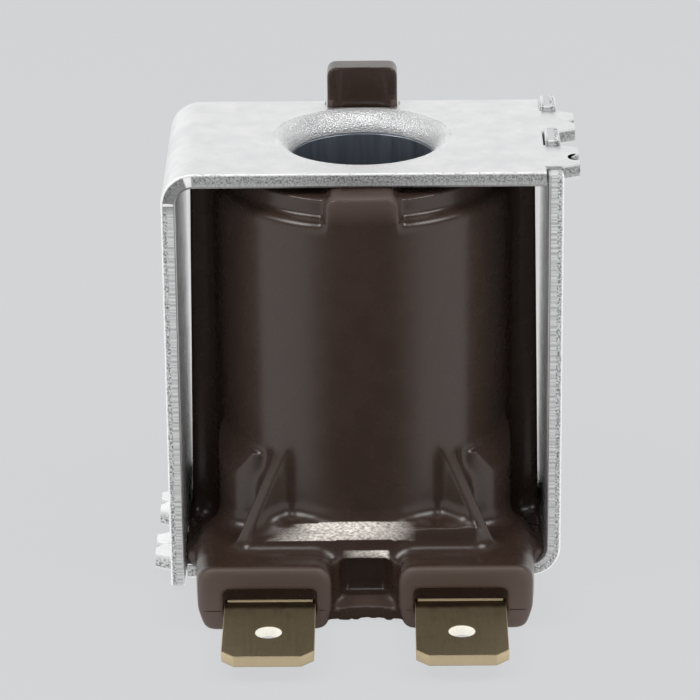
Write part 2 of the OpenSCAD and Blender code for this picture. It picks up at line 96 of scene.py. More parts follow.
class Bench:
    """Modelling by operators, in millimetres; a finished piece is brought to metres once."""

    @staticmethod
    def take(piece: Solid) -> None:
        """Makes a piece the only selected one and the active one."""
        bpy.ops.object.select_all(action="DESELECT")
        piece.select_set(True)
        bpy.context.view_layer.objects.active = piece

    @staticmethod
    def settle(piece: Solid, at: Sequence[float] = (0.0, 0.0, 0.0)) -> Solid:
        """Moves a piece and applies its place, turn and scale to its mesh.

        Args:
            piece: the mesh object.
            at: its new place.

        Returns:
            The same piece.
        """
        Bench.take(piece)
        piece.location = at
        bpy.ops.object.transform_apply(location=True, rotation=True, scale=True)
        return piece

    @staticmethod
    def mark(piece: Solid, kind: Pick, **marks: Sequence[float]) -> None:
        """Stores values on a mesh, which its finish reads.

        Args:
            piece: the mesh object.
            kind: faces, or vertices for anything else.
            marks: the values of each attribute, by its name.
        """
        domain = "FACE" if kind is Pick.FACE else "POINT"
        for name, values in marks.items():
            piece.data.attributes.new(name, "FLOAT", domain).data.foreach_set("value", values)

    @staticmethod
    def block(name: str, low: Point, high: Point) -> Solid:
        """Adds a box between two corners.

        Args:
            name: name of the new object.
            low: lowest corner.
            high: highest corner.

        Returns:
            The box, with its place in its mesh.
        """
        bpy.ops.object.select_all(action="DESELECT")
        bpy.ops.mesh.primitive_cube_add(size=1.0)
        piece = bpy.context.active_object
        piece.name = name
        piece.scale = [b - a for a, b in zip(low, high)]
        return Bench.settle(piece, [(a + b) / 2 for a, b in zip(low, high)])

    @staticmethod
    def disc(name: str, radius: float, corners: int, at: Point) -> Solid:
        """Adds a filled circle and selects it in edit mode, ready to be extruded.

        Args:
            name: name of the new object.
            radius: its radius.
            corners: number of its corners.
            at: its middle.

        Returns:
            The disc, in edit mode.
        """
        bpy.ops.object.select_all(action="DESELECT")
        bpy.ops.mesh.primitive_circle_add(vertices=corners, radius=radius, fill_type="NGON")
        piece = bpy.context.active_object
        piece.name = name
        Bench.settle(piece, at)
        Bench.select(piece, Pick.FACE, every)
        return piece

    @staticmethod
    def outline(name: str, points: Sequence[Point]) -> Solid:
        """Adds a flat polygon: a filled circle whose corners are moved to the given points.

        Args:
            name: name of the new object.
            points: corners in order.

        Returns:
            The polygon.
        """
        bpy.ops.object.select_all(action="DESELECT")
        bpy.ops.mesh.primitive_circle_add(vertices=len(points), radius=1.0, fill_type="NGON")
        piece = bpy.context.active_object
        piece.name = name
        for vertex, point in zip(piece.data.vertices, points):
            vertex.co = point
        return piece

    @staticmethod
    def prism(name: str, points: Sequence[Point], along: Point) -> Solid:
        """Extrudes a polygon along a straight line.

        Args:
            name: name of the new object.
            points: corners in order.
            along: the line, as a vector.

        Returns:
            The closed solid.
        """
        piece = Bench.outline(name, points)
        Bench.select(piece, Pick.FACE, every)
        bpy.ops.mesh.extrude_region_move(TRANSFORM_OT_translate={"value": along})
        return Bench.close(piece)

    @staticmethod
    def revolve(name: str, profile: Sequence[tuple[float, float]], steps: int, turn: float = math.tau,
                start: float = 0.0) -> Solid:
        """Spins a closed outline round the bore axis.

        Args:
            name: name of the new object.
            profile: radius and height of each corner in order.
            steps: steps in the turn.
            turn: angle of the turn.
            start: angle at which the turn starts, from +X.

        Returns:
            The closed solid.
        """
        c, s = math.cos(start), math.sin(start)
        piece = Bench.outline(name, [(r * c, r * s, z) for r, z in profile])
        Bench.select(piece, Pick.FACE, every)
        if turn >= math.tau:
            bpy.ops.mesh.delete(type="ONLY_FACE")
            bpy.ops.mesh.select_all(action="SELECT")
        bpy.ops.mesh.spin(steps=steps, angle=turn, center=(0, 0, 0), axis=(0, 0, 1))
        return Bench.close(piece)

    @staticmethod
    def close(piece: Solid) -> Solid:
        """Merges doubles, turns the faces outwards and leaves edit mode.

        Args:
            piece: the mesh object, in either mode.

        Returns:
            The same piece, in object mode.
        """
        if piece.mode != "EDIT":
            Bench.take(piece)
            bpy.ops.object.mode_set(mode="EDIT")
        bpy.ops.mesh.select_all(action="SELECT")
        bpy.ops.mesh.remove_doubles(threshold=1e-4)
        bpy.ops.mesh.normals_make_consistent(inside=False)
        bpy.ops.object.mode_set(mode="OBJECT")
        return piece

    @staticmethod
    def select(piece: Solid, kind: Pick, test: Test) -> None:
        """Goes into edit mode and selects the elements that pass a test.

        Args:
            piece: the mesh object.
            kind: faces, edges or vertices.
            test: takes the middle, and the normal or an edge's direction.
        """
        Bench.take(piece)
        bpy.ops.object.mode_set(mode="EDIT")
        bpy.ops.mesh.select_mode(type=kind.value)
        bpy.ops.mesh.select_all(action="DESELECT")
        mesh = bmesh.from_edit_mesh(piece.data)
        if kind is Pick.FACE:
            found = [f for f in mesh.faces if test(f.calc_center_median(), f.normal)]
        elif kind is Pick.EDGE:
            found = [e for e in mesh.edges if test((e.verts[0].co + e.verts[1].co) / 2,
                                                   (e.verts[1].co - e.verts[0].co).normalized())]
        else:
            found = [v for v in mesh.verts if test(v.co, v.normal)]
        for element in found:
            element.select_set(True)
        bmesh.update_edit_mesh(piece.data)

    @staticmethod
    def round_edges(piece: Solid, radius: float, segments: int, test: Test) -> Solid:
        """Bevels the edges that pass a test.

        Args:
            piece: the mesh object.
            radius: size of the rounding.
            segments: facets of the rounding.
            test: takes an edge's middle and direction.

        Returns:
            The same piece, in object mode.
        """
        Bench.select(piece, Pick.EDGE, test)
        bpy.ops.mesh.bevel(offset=radius, segments=segments, affect="EDGES", clamp_overlap=True)
        bpy.ops.object.mode_set(mode="OBJECT")
        return piece

    @staticmethod
    def shift(piece: Solid, move: Point, test: Test) -> Solid:
        """Moves the vertices that pass a test.

        Args:
            piece: the mesh object.
            move: the movement.
            test: takes a vertex's place and normal.

        Returns:
            The same piece, in object mode.
        """
        Bench.select(piece, Pick.VERT, test)
        bpy.ops.transform.translate(value=move)
        bpy.ops.object.mode_set(mode="OBJECT")
        return piece

    @staticmethod
    def trim(piece: Solid, at: Point, normal: Point) -> Solid:
        """Cuts off what lies beyond a plane and closes the cut.

        Args:
            piece: the mesh object.
            at: a point on the plane.
            normal: the plane's normal, towards what is cut off.

        Returns:
            The same piece, in object mode.
        """
        Bench.select(piece, Pick.FACE, every)
        bpy.ops.mesh.bisect(plane_co=at, plane_no=normal, use_fill=True, clear_outer=True, clear_inner=False)
        return Bench.close(piece)

    @staticmethod
    def score(piece: Solid, at: Point, normal: Point) -> Solid:
        """Cuts a line of edges along a plane and keeps both sides.

        Args:
            piece: the mesh object.
            at: a point on the plane.
            normal: the plane's normal.

        Returns:
            The same piece, in object mode.
        """
        Bench.select(piece, Pick.FACE, every)
        bpy.ops.mesh.bisect(plane_co=at, plane_no=normal)
        bpy.ops.object.mode_set(mode="OBJECT")
        return piece

    @staticmethod
    def turned(piece: Solid, angle: float, axis: str) -> Solid:
        """Turns a piece about an axis through the origin and applies the turn."""
        piece.rotation_euler = tuple(angle if letter == axis else 0.0 for letter in "XYZ")
        return Bench.settle(piece)

    @staticmethod
    def finish_with(piece: Solid, kind: str, **settings: Any) -> Solid:
        """Adds a modifier with its settings and applies it.

        Args:
            piece: the mesh object.
            kind: the modifier's type.
            settings: the modifier's properties.

        Returns:
            The same piece.
        """
        Bench.take(piece)
        modifier = piece.modifiers.new(kind.lower(), kind)
        for key, value in settings.items():
            setattr(modifier, key, value)
        bpy.ops.object.modifier_apply(modifier=modifier.name)
        return piece

    @staticmethod
    def combine(piece: Solid, tool: Solid, how: Merge) -> Solid:
        """Acts on a piece with a solid, which is used up.

        Args:
            piece: the mesh object.
            tool: the solid.
            how: what the solid does.

        Returns:
            The same piece.
        """
        Bench.finish_with(piece, "BOOLEAN", operation=how.value, object=tool, solver="EXACT")
        bpy.data.objects.remove(tool, do_unlink=True)
        return piece

    @staticmethod
    def broken(piece: Solid, width: float) -> Solid:
        """Breaks all the sharp edges of a piece with a narrow bevel."""
        return Bench.finish_with(piece, "BEVEL", width=width, segments=3, limit_method="ANGLE", angle_limit=SHARP,
                                 use_clamp_overlap=True)

    @staticmethod
    def joined(name: str, pieces: Sequence[Solid]) -> Solid:
        """Joins several meshes into one object.

        Args:
            name: name of that object.
            pieces: the mesh objects; the first one takes in the others.

        Returns:
            The first piece.
        """
        bpy.ops.object.select_all(action="DESELECT")
        for piece in pieces:
            piece.select_set(True)
        bpy.context.view_layer.objects.active = pieces[0]
        bpy.ops.object.join()
        pieces[0].name = name
        return pieces[0]

    @staticmethod
    def copied(piece: Solid, name: str) -> Solid:
        """Copies a piece together with its mesh.

        Args:
            piece: the mesh object.
            name: name of the copy.

        Returns:
            The copy.
        """
        Bench.take(piece)
        bpy.ops.object.duplicate(linked=False)
        double = bpy.context.active_object
        double.name = name
        return double

    @staticmethod
    def deliver(piece: Solid, finish: Material, slot: str, nodes: Sequence[str],
                angle: float = 35.0) -> None:
        """Brings a piece to metres, gives it its finish and puts it in the place of its CAD nodes.

        Args:
            piece: the finished mesh object.
            finish: its material.
            slot: name of a material slot; not used.
            nodes: CAD nodes that it stands for.
            angle: edges sharper than this stay sharp in the shading, in degrees.
        """
        piece.scale = (MM, MM, MM)
        Bench.settle(piece)
        bpy.ops.object.shade_smooth_by_angle(angle=math.radians(angle))
        if len(piece.data.polygons) < FINE_MESH:
            Bench.finish_with(piece, "WEIGHTED_NORMAL", mode="FACE_AREA", weight=90, keep_sharp=True)
        piece.data.materials.clear()
        piece.data.materials.append(finish)
        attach(piece, ROOT)
        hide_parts(*nodes)
        piece.data.calc_loop_triangles()
        LOG.info("%s: %d triangles", piece.name, len(piece.data.loop_triangles))


def linear(colour: str) -> tuple[float, float, float, float]:
    """Turns an sRGB hex colour into linear values.

    Args:
        colour: six hex digits after a hash sign.

    Returns:
        Linear red, green, blue and an alpha of one.
    """
    parts = [int(colour[i:i + 2], 16) / 255 for i in (1, 3, 5)]
    red, green, blue = (p / 12.92 if p <= 0.04045 else ((p + 0.055) / 1.055) ** 2.4 for p in parts)
    return red, green, blue, 1.0


def link(tree: Tree, node: Node, **inputs: Any) -> Node:
    """Sets a node's sockets.

    Args:
        tree: the node tree.
        node: a node in it.
        inputs: sockets by name, with _ for a space, or by number as in_3; values are plain values, sockets, or nodes,
            which give their first live output.

    Returns:
        The same node.
    """
    for key, value in inputs.items():
        numbered = key[:3] == "in_" and key[3:].isdigit()
        socket = node.inputs[int(key[3:]) if numbered else key.replace("_", " ")]
        if isinstance(value, Node):
            value = next(output for output in value.outputs if output.enabled)
        if isinstance(value, Socket):
            tree.links.new(value, socket)
        else:
            socket.default_value = value
    return node


def add(tree: Tree, kind: str, setup: dict[str, Any] | None = None, **inputs: Any) -> Node:
    """Adds a node with its settings and links.

    Args:
        tree: the node tree.
        kind: the node's type, without the ShaderNode that they all start with.
        setup: properties of the node itself.
        inputs: its sockets; see link.

    Returns:
        The new node.
    """
    node = tree.nodes.new("ShaderNode" + kind)
    for key, value in (setup or {}).items():
        setattr(node, key, value)
    return link(tree, node, **inputs)


class Finish:
    """Base of the finishes: a material with a shader and the piece's own coordinates in millimetres."""

    name: str

    def material(self) -> Material:
        """Makes the material and lets the finish paint it.

        Returns:
            The painted material.
        """
        made = bpy.data.materials.new(self.name)
        made.use_nodes = True
        tree = made.node_tree
        shader = tree.nodes["Principled BSDF"]
        place = add(tree, "TexCoord")
        scaled = add(tree, "VectorMath", {"operation": "SCALE"}, in_0=place.outputs["Object"], Scale=1 / MM)
        self.paint(tree, shader, scaled.outputs[0])
        return made

    def paint(self, tree: Tree, shader: Node, mm: Socket) -> None:
        """Sets the shader's sockets.

        Args:
            tree: the material's node tree.
            shader: its Principled shader.
            mm: object coordinates in millimetres.
        """
        raise NotImplementedError


@dataclass(frozen=True)
class ZincPlatedSteel(Finish):
    """Zinc plated cold rolled sheet, blanked and bent.

    A pale soft metal with faint clouds. Its sheared edges scatter the light: a sandy broken zone towards the outer
    face, a drawn zone with fine cross lines towards the inner one, and, where the upper sheet is bent, a patch of
    painted shade between two painted highlight lines. A thin broken white line along the outer front edge is a painted
    highlight, and the inner faces are dull. The rolled collar glitters because the stretched plating is coarse.
    """

    name: str = "zinc_plated_steel"
    light: str = "#f1f1f1"
    dull: str = "#dfe0e1"
    broken: str = "#707074"
    # Pure white of the painted highlight along the outer front edge.
    burr_highlight: str = "#ffffff"
    line: str = "#b4b5b6"
    drawn: str = "#dfe0e0"
    cloud_mm: float = 2.2
    grain_mm: float = 0.14
    lip_grain_mm: float = 0.12
    line_mm: float = 0.2
    roughness: float = 0.38
    lip_roughness: float = 0.3
    front_y: float = -8.0
    lip_r: tuple[float, float] = (6.1, 6.6)
    edge_in: tuple[float, float] = (0.1, 0.16)
    edge_out: tuple[float, float] = (0.8, 0.84)
    inner_depth: tuple[float, float] = (0.97, 0.995)
    drawn_run: tuple[float, float] = (-0.4, 3.4)
    drawn_depth: tuple[float, float] = (0.4, 0.64)
    half_scatter: float = 0.55
    burr_highlight_y: tuple[float, float] = (0.09, 0.13)
    burr_highlight_depth: tuple[float, float] = (0.1, 0.14)
    # Stops of the painted shade and painted highlight lines on the bend's edge: run, grey and cover.
    ironed_from: float = -1.0
    ironed_to: float = 4.0
    ironed_tones: tuple[tuple[float, float, float], ...] = (
        (-1.0, 0.2, 0.0), (-0.5, 0.2, 0.3), (-0.1, 0.15, 0.7), (-0.05, 0.97, 1.0), (0.1, 0.97, 1.0), (0.16, 0.1, 0.75),
        (2.7, 0.14, 0.7), (2.8, 0.97, 1.0), (3.35, 0.97, 1.0), (3.45, 0.15, 0.5), (4.0, 0.17, 0.45))

    def paint(self, tree: Tree, shader: Node, mm: Socket) -> None:
        """Sets the shader's sockets; see Finish.paint."""
        clouds = add(tree, "TexNoise", Vector=mm, Scale=1 / self.cloud_mm, Detail=6.0, Roughness=0.65)
        cloud = add(tree, "MapRange", Value=clouds.outputs["Fac"], From_Min=0.35, From_Max=0.65)
        sheet = add(tree, "Mix", {"data_type": "RGBA"}, in_0=cloud, in_6=linear(self.dull), in_7=linear(self.light))
        depth = add(tree, "Attribute", {"attribute_name": "sheet_depth"})
        run = add(tree, "Attribute", {"attribute_name": "sheet_run"})
        ironed = add(tree, "Attribute", {"attribute_name": "ironed"})
        into = add(tree, "MapRange", Value=depth.outputs["Fac"], From_Min=self.edge_in[0], From_Max=self.edge_in[1])
        outof = add(tree, "MapRange", Value=depth.outputs["Fac"], From_Min=self.edge_out[0], From_Max=self.edge_out[1],
                    To_Min=1.0, To_Max=0.0)
        edge = add(tree, "Math", {"operation": "MULTIPLY"}, in_0=into, in_1=outof)
        grain = add(tree, "TexNoise", Vector=mm, Scale=1 / self.grain_mm, Detail=2.0, Roughness=0.6)
        sand = add(tree, "MapRange", Value=grain.outputs["Fac"], From_Min=0.36, From_Max=0.6)
        broken_zone = add(tree, "Mix", {"data_type": "RGBA"}, in_0=sand, in_6=linear(self.broken),
                          in_7=linear(self.drawn))
        lines = add(tree, "TexNoise", {"noise_dimensions": "1D"}, W=run.outputs["Fac"], Scale=1 / self.line_mm,
                    Detail=2.0)
        line = add(tree, "MapRange", Value=lines.outputs["Fac"], From_Min=0.35, From_Max=0.6)
        drawn_zone = add(tree, "Mix", {"data_type": "RGBA"}, in_0=line, in_6=linear(self.line), in_7=linear(self.drawn))
        limit = add(tree, "MapRange", Value=run.outputs["Fac"], From_Min=self.drawn_run[0], From_Max=self.drawn_run[1],
                    To_Min=self.drawn_depth[0], To_Max=self.drawn_depth[1])
        beyond = add(tree, "Math", {"operation": "SUBTRACT"}, in_0=depth.outputs["Fac"], in_1=limit)
        zone = add(tree, "MapRange", Value=beyond, From_Min=-0.04, From_Max=0.04)
        cut = add(tree, "Mix", {"data_type": "RGBA"}, in_0=zone, in_6=broken_zone, in_7=drawn_zone)
        # Painted shade on the edge of the upper bend, between two painted highlight lines at the ends of the bend.
        span = add(tree, "MapRange", Value=run.outputs["Fac"], From_Min=self.ironed_from, From_Max=self.ironed_to)
        tones = add(tree, "ValToRGB", Fac=span)
        for k, (at, tone, cover) in enumerate(self.ironed_tones):
            share = (at - self.ironed_from) / (self.ironed_to - self.ironed_from)
            stops = tones.color_ramp.elements
            stop = stops[k] if k < 2 else stops.new(share)
            stop.position, stop.color = share, (tone, tone, tone, cover)
        bend_shading = add(tree, "Math", {"operation": "MULTIPLY"}, in_0=ironed.outputs["Fac"], in_1=tones.outputs["Alpha"])
        pressed = add(tree, "Mix", {"data_type": "RGBA"}, in_0=bend_shading, in_6=cut, in_7=tones)
        sheared = add(tree, "Mix", {"data_type": "RGBA"}, in_0=edge, in_6=sheet, in_7=pressed)
        place = add(tree, "SeparateXYZ", Vector=mm)
        # Painted highlight: a thin broken white line along the outer front edge.
        front = add(tree, "MapRange", Value=place.outputs["Y"], From_Min=self.front_y + self.burr_highlight_y[0],
                    From_Max=self.front_y + self.burr_highlight_y[1], To_Min=1.0, To_Max=0.0)
        outside = add(tree, "MapRange", Value=depth.outputs["Fac"], From_Min=self.burr_highlight_depth[0],
                      From_Max=self.burr_highlight_depth[1], To_Min=1.0, To_Max=0.0)
        gaps = add(tree, "MapRange", Value=grain.outputs["Fac"], From_Min=0.36, From_Max=0.46)
        rim = add(tree, "Math", {"operation": "MULTIPLY"}, in_0=front, in_1=outside)
        burr_highlight = add(tree, "Math", {"operation": "MULTIPLY"}, in_0=rim, in_1=gaps)
        colour = add(tree, "Mix", {"data_type": "RGBA"}, in_0=burr_highlight, in_6=sheared, in_7=linear(self.burr_highlight))
        inner = add(tree, "MapRange", Value=depth.outputs["Fac"], From_Min=self.inner_depth[0],
                    From_Max=self.inner_depth[1])
        flat = add(tree, "VectorMath", {"operation": "MULTIPLY"}, in_0=mm, in_1=(1.0, 1.0, 0.0))
        radius = add(tree, "VectorMath", {"operation": "LENGTH"}, in_0=flat)
        lip = add(tree, "MapRange", Value=radius, From_Min=self.lip_r[0], From_Max=self.lip_r[1], To_Min=1.0,
                  To_Max=0.0)
        dulls = add(tree, "Math", {"operation": "ADD"}, in_0=lip, in_1=inner)
        half = add(tree, "Math", {"operation": "MULTIPLY"}, in_0=dulls, in_1=self.half_scatter)
        torn = add(tree, "Math", {"operation": "MAXIMUM"}, in_0=edge, in_1=half)
        loose = add(tree, "Math", {"operation": "MAXIMUM"}, in_0=torn, in_1=burr_highlight)
        scatter = add(tree, "MapRange", Value=loose, To_Min=1.0, To_Max=0.3)
        facets = add(tree, "TexNoise", Vector=mm, Scale=1 / self.lip_grain_mm, Detail=1.5, Roughness=0.6)
        skin = add(tree, "MapRange", Value=clouds.outputs["Fac"], To_Min=self.roughness - 0.05,
                   To_Max=self.roughness + 0.08)
        smooth = add(tree, "Math", {"operation": "MULTIPLY_ADD"}, in_0=inner, in_1=-0.18, in_2=skin)
        dulled = add(tree, "Math", {"operation": "MULTIPLY_ADD"}, in_0=edge, in_1=0.2, in_2=smooth)
        rough = add(tree, "Mix", {"data_type": "FLOAT"}, in_0=lip, in_2=dulled, in_3=self.lip_roughness)
        sandy = add(tree, "Math", {"operation": "MULTIPLY_ADD"}, in_0=grain.outputs["Fac"], in_1=0.8, in_2=-0.4)
        crystal = add(tree, "Math", {"operation": "MULTIPLY_ADD"}, in_0=facets.outputs["Fac"], in_1=2.2, in_2=-1.1)
        on_edge = add(tree, "Math", {"operation": "MULTIPLY"}, in_0=sandy, in_1=edge)
        on_lip = add(tree, "Math", {"operation": "MULTIPLY_ADD"}, in_0=crystal, in_1=lip, in_2=on_edge)
        height = add(tree, "Math", {"operation": "MULTIPLY_ADD"}, in_0=clouds.outputs["Fac"], in_1=0.06, in_2=on_lip)
        bump = add(tree, "Bump", Height=height, Strength=0.5, Distance=0.12 * MM)
        link(tree, shader, Metallic=scatter, Base_Color=colour, Roughness=rough, Normal=bump)


@dataclass(frozen=True)
class BrownMouldingResin(Finish):
    """Glass filled polyester moulding resin, dark brown, from a polished tool.

    A deep warm brown under a soft gloss, with a faint ripple. The front faces of the shrouds and lug and the lip's top
    are duller and redder, and painted lighter as painted light; the peg's base is painted lighter as a painted
    reflection.
    Two streaky strips left by spark erosion of the tool are painted pale, a painted highlight that fades towards their
    ends.
    """

    name: str = "brown_moulding_resin"
    deep: str = "#30231d"
    warm: str = "#3a2c25"
    # Lighter colour of the dull faces, which is painted light.
    matt: str = "#54443d"
    # Tones of the painted highlight on the strips left by spark erosion.
    dark_grain: str = "#8d8178"
    highlight_grain: str = "#efe9e2"
    ripple_mm: float = 1.6
    grain_mm: float = 0.12
    roughness: float = 0.26
    ior: float = 1.52

    def paint(self, tree: Tree, shader: Node, mm: Socket) -> None:
        """Sets the shader's sockets; see Finish.paint."""
        ripple = add(tree, "TexNoise", Vector=mm, Scale=1 / self.ripple_mm, Detail=4.0, Roughness=0.55)
        along = add(tree, "Mapping", Vector=mm, Rotation=(0.0, 0.12, 0.35), Scale=(0.5, 1.0, 1.0))
        grain = add(tree, "TexNoise", Vector=along, Scale=1 / self.grain_mm, Detail=3.0)
        eroded = add(tree, "Attribute", {"attribute_name": "eroded"})
        matt = add(tree, "Attribute", {"attribute_name": "matt"})
        gloss_skin = add(tree, "Mix", {"data_type": "RGBA"}, in_0=ripple.outputs["Fac"], in_6=linear(self.deep),
                         in_7=linear(self.warm))
        # The dull faces take the lighter colour as painted light.
        skin = add(tree, "Mix", {"data_type": "RGBA"}, in_0=matt.outputs["Fac"], in_6=gloss_skin,
                   in_7=linear(self.matt))
        # The strips left by spark erosion take a pale streaky painted highlight.
        sparkle = add(tree, "MapRange", Value=grain.outputs["Fac"], From_Min=0.3, From_Max=0.66)
        strip = add(tree, "Mix", {"data_type": "RGBA"}, in_0=sparkle, in_6=linear(self.dark_grain),
                    in_7=linear(self.highlight_grain))
        colour = add(tree, "Mix", {"data_type": "RGBA"}, in_0=eroded.outputs["Fac"], in_6=skin, in_7=strip)
        gloss = add(tree, "MapRange", Value=ripple.outputs["Fac"], To_Min=self.roughness - 0.04,
                    To_Max=self.roughness + 0.06)
        duller = add(tree, "Math", {"operation": "MAXIMUM"}, in_0=eroded.outputs["Fac"], in_1=matt.outputs["Fac"])
        rough = add(tree, "Math", {"operation": "MULTIPLY_ADD"}, in_0=duller, in_1=0.25, in_2=gloss)
        coarse = add(tree, "Math", {"operation": "MULTIPLY_ADD"}, in_0=eroded.outputs["Fac"], in_1=0.8, in_2=0.08)
        even = add(tree, "Math", {"operation": "SUBTRACT"}, in_0=grain.outputs["Fac"], in_1=0.5)
        height = add(tree, "Math", {"operation": "MULTIPLY_ADD"}, in_0=even, in_1=coarse, in_2=ripple.outputs["Fac"])
        bump = add(tree, "Bump", Height=height, Strength=0.25, Distance=0.06 * MM)
        link(tree, shader, IOR=self.ior, Base_Color=colour, Roughness=rough, Normal=bump)


@dataclass(frozen=True)
class TarnishedBrass(Finish):
    """Rolled brass strip, blanked, with a dull olive tarnish on its faces, darker brown towards its root by the
    moulding.

    The fresh cut edges stay bright, and the wall of the detent hole is painted nearly white as a painted highlight.
    """

    name: str = "tarnished_brass"
    dull: str = "#a6977b"
    pale: str = "#c2b594"
    root_brown: str = "#5b4936"
    bright: str = "#cdbb98"
    hole_highlight: str = "#fbf8ee"
    cloud_mm: float = 1.4
    streak_mm: float = 0.25
    roughness: float = 0.52
    root_brown_y: tuple[float, float] = (-15.5, -15.0)

    def paint(self, tree: Tree, shader: Node, mm: Socket) -> None:
        """Sets the shader's sockets; see Finish.paint."""
        clouds = add(tree, "TexNoise", Vector=mm, Scale=1 / self.cloud_mm, Detail=5.0)
        along = add(tree, "Mapping", Vector=mm, Scale=(1.0, 0.06, 1.0))
        streak = add(tree, "TexNoise", Vector=along, Scale=1 / self.streak_mm, Detail=2.0)
        both = add(tree, "Math", {"operation": "MULTIPLY"}, in_0=clouds.outputs["Fac"], in_1=streak.outputs["Fac"])
        tone = add(tree, "MapRange", Value=both, From_Min=0.12, From_Max=0.42)
        face = add(tree, "Mix", {"data_type": "RGBA"}, in_0=tone, in_6=linear(self.dull), in_7=linear(self.pale))
        # Darker brown towards the root, by the moulding.
        place = add(tree, "SeparateXYZ", Vector=mm)
        ragged = add(tree, "Math", {"operation": "MULTIPLY_ADD"}, in_0=clouds.outputs["Fac"], in_1=0.6,
                     in_2=place.outputs["Y"])
        near = add(tree, "MapRange", Value=ragged, From_Min=self.root_brown_y[0] + 0.3, From_Max=self.root_brown_y[1] + 0.3)
        browned = add(tree, "Mix", {"data_type": "RGBA"}, in_0=near, in_6=face, in_7=linear(self.root_brown))
        cut = add(tree, "Attribute", {"attribute_name": "cut_edge"})
        hole = add(tree, "Attribute", {"attribute_name": "hole_wall"})
        edged = add(tree, "Mix", {"data_type": "RGBA"}, in_0=cut.outputs["Fac"], in_6=browned, in_7=linear(self.bright))
        # The hole's wall is painted nearly white, a painted highlight.
        colour = add(tree, "Mix", {"data_type": "RGBA"}, in_0=hole.outputs["Fac"], in_6=edged,
                     in_7=linear(self.hole_highlight))
        rough = add(tree, "MapRange", Value=tone, To_Min=self.roughness + 0.08, To_Max=self.roughness - 0.06)
        fresh = add(tree, "Math", {"operation": "MULTIPLY"}, in_0=cut.outputs["Fac"], in_1=0.7)
        loose = add(tree, "Math", {"operation": "MAXIMUM"}, in_0=fresh, in_1=hole.outputs["Fac"])
        scatter = add(tree, "MapRange", Value=loose, To_Min=1.0, To_Max=0.0)
        bump = add(tree, "Bump", Height=streak.outputs["Fac"], Strength=0.2, Distance=0.03 * MM)
        link(tree, shader, Metallic=scatter, Base_Color=colour, Roughness=rough, Normal=bump)


@dataclass(frozen=True)
class MottledSurface(Finish):
    """A plain worked surface for the pieces inside: two close tones, a grain and a roughness."""

    name: str
    deep: str
    light: str
    grain_mm: float
    roughness: float
    metallic: float = 0.0
    stretch: Point = (1.0, 1.0, 1.0)
    relief_mm: float = 0.02

    def paint(self, tree: Tree, shader: Node, mm: Socket) -> None:
        """Sets the shader's sockets; see Finish.paint."""
        along = add(tree, "Mapping", Vector=mm, Scale=self.stretch)
        grain = add(tree, "TexNoise", Vector=along, Scale=1 / self.grain_mm, Detail=3.0)
        tone = add(tree, "MapRange", Value=grain.outputs["Fac"], From_Min=0.35, From_Max=0.65)
        colour = add(tree, "Mix", {"data_type": "RGBA"}, in_0=tone, in_6=linear(self.deep), in_7=linear(self.light))
        rough = add(tree, "MapRange", Value=grain.outputs["Fac"], To_Min=self.roughness - 0.08,
                    To_Max=self.roughness + 0.08)
        bump = add(tree, "Bump", Height=grain.outputs["Fac"], Strength=0.4, Distance=self.relief_mm * MM)
        link(tree, shader, Metallic=self.metallic, Base_Color=colour, Roughness=rough, Normal=bump)


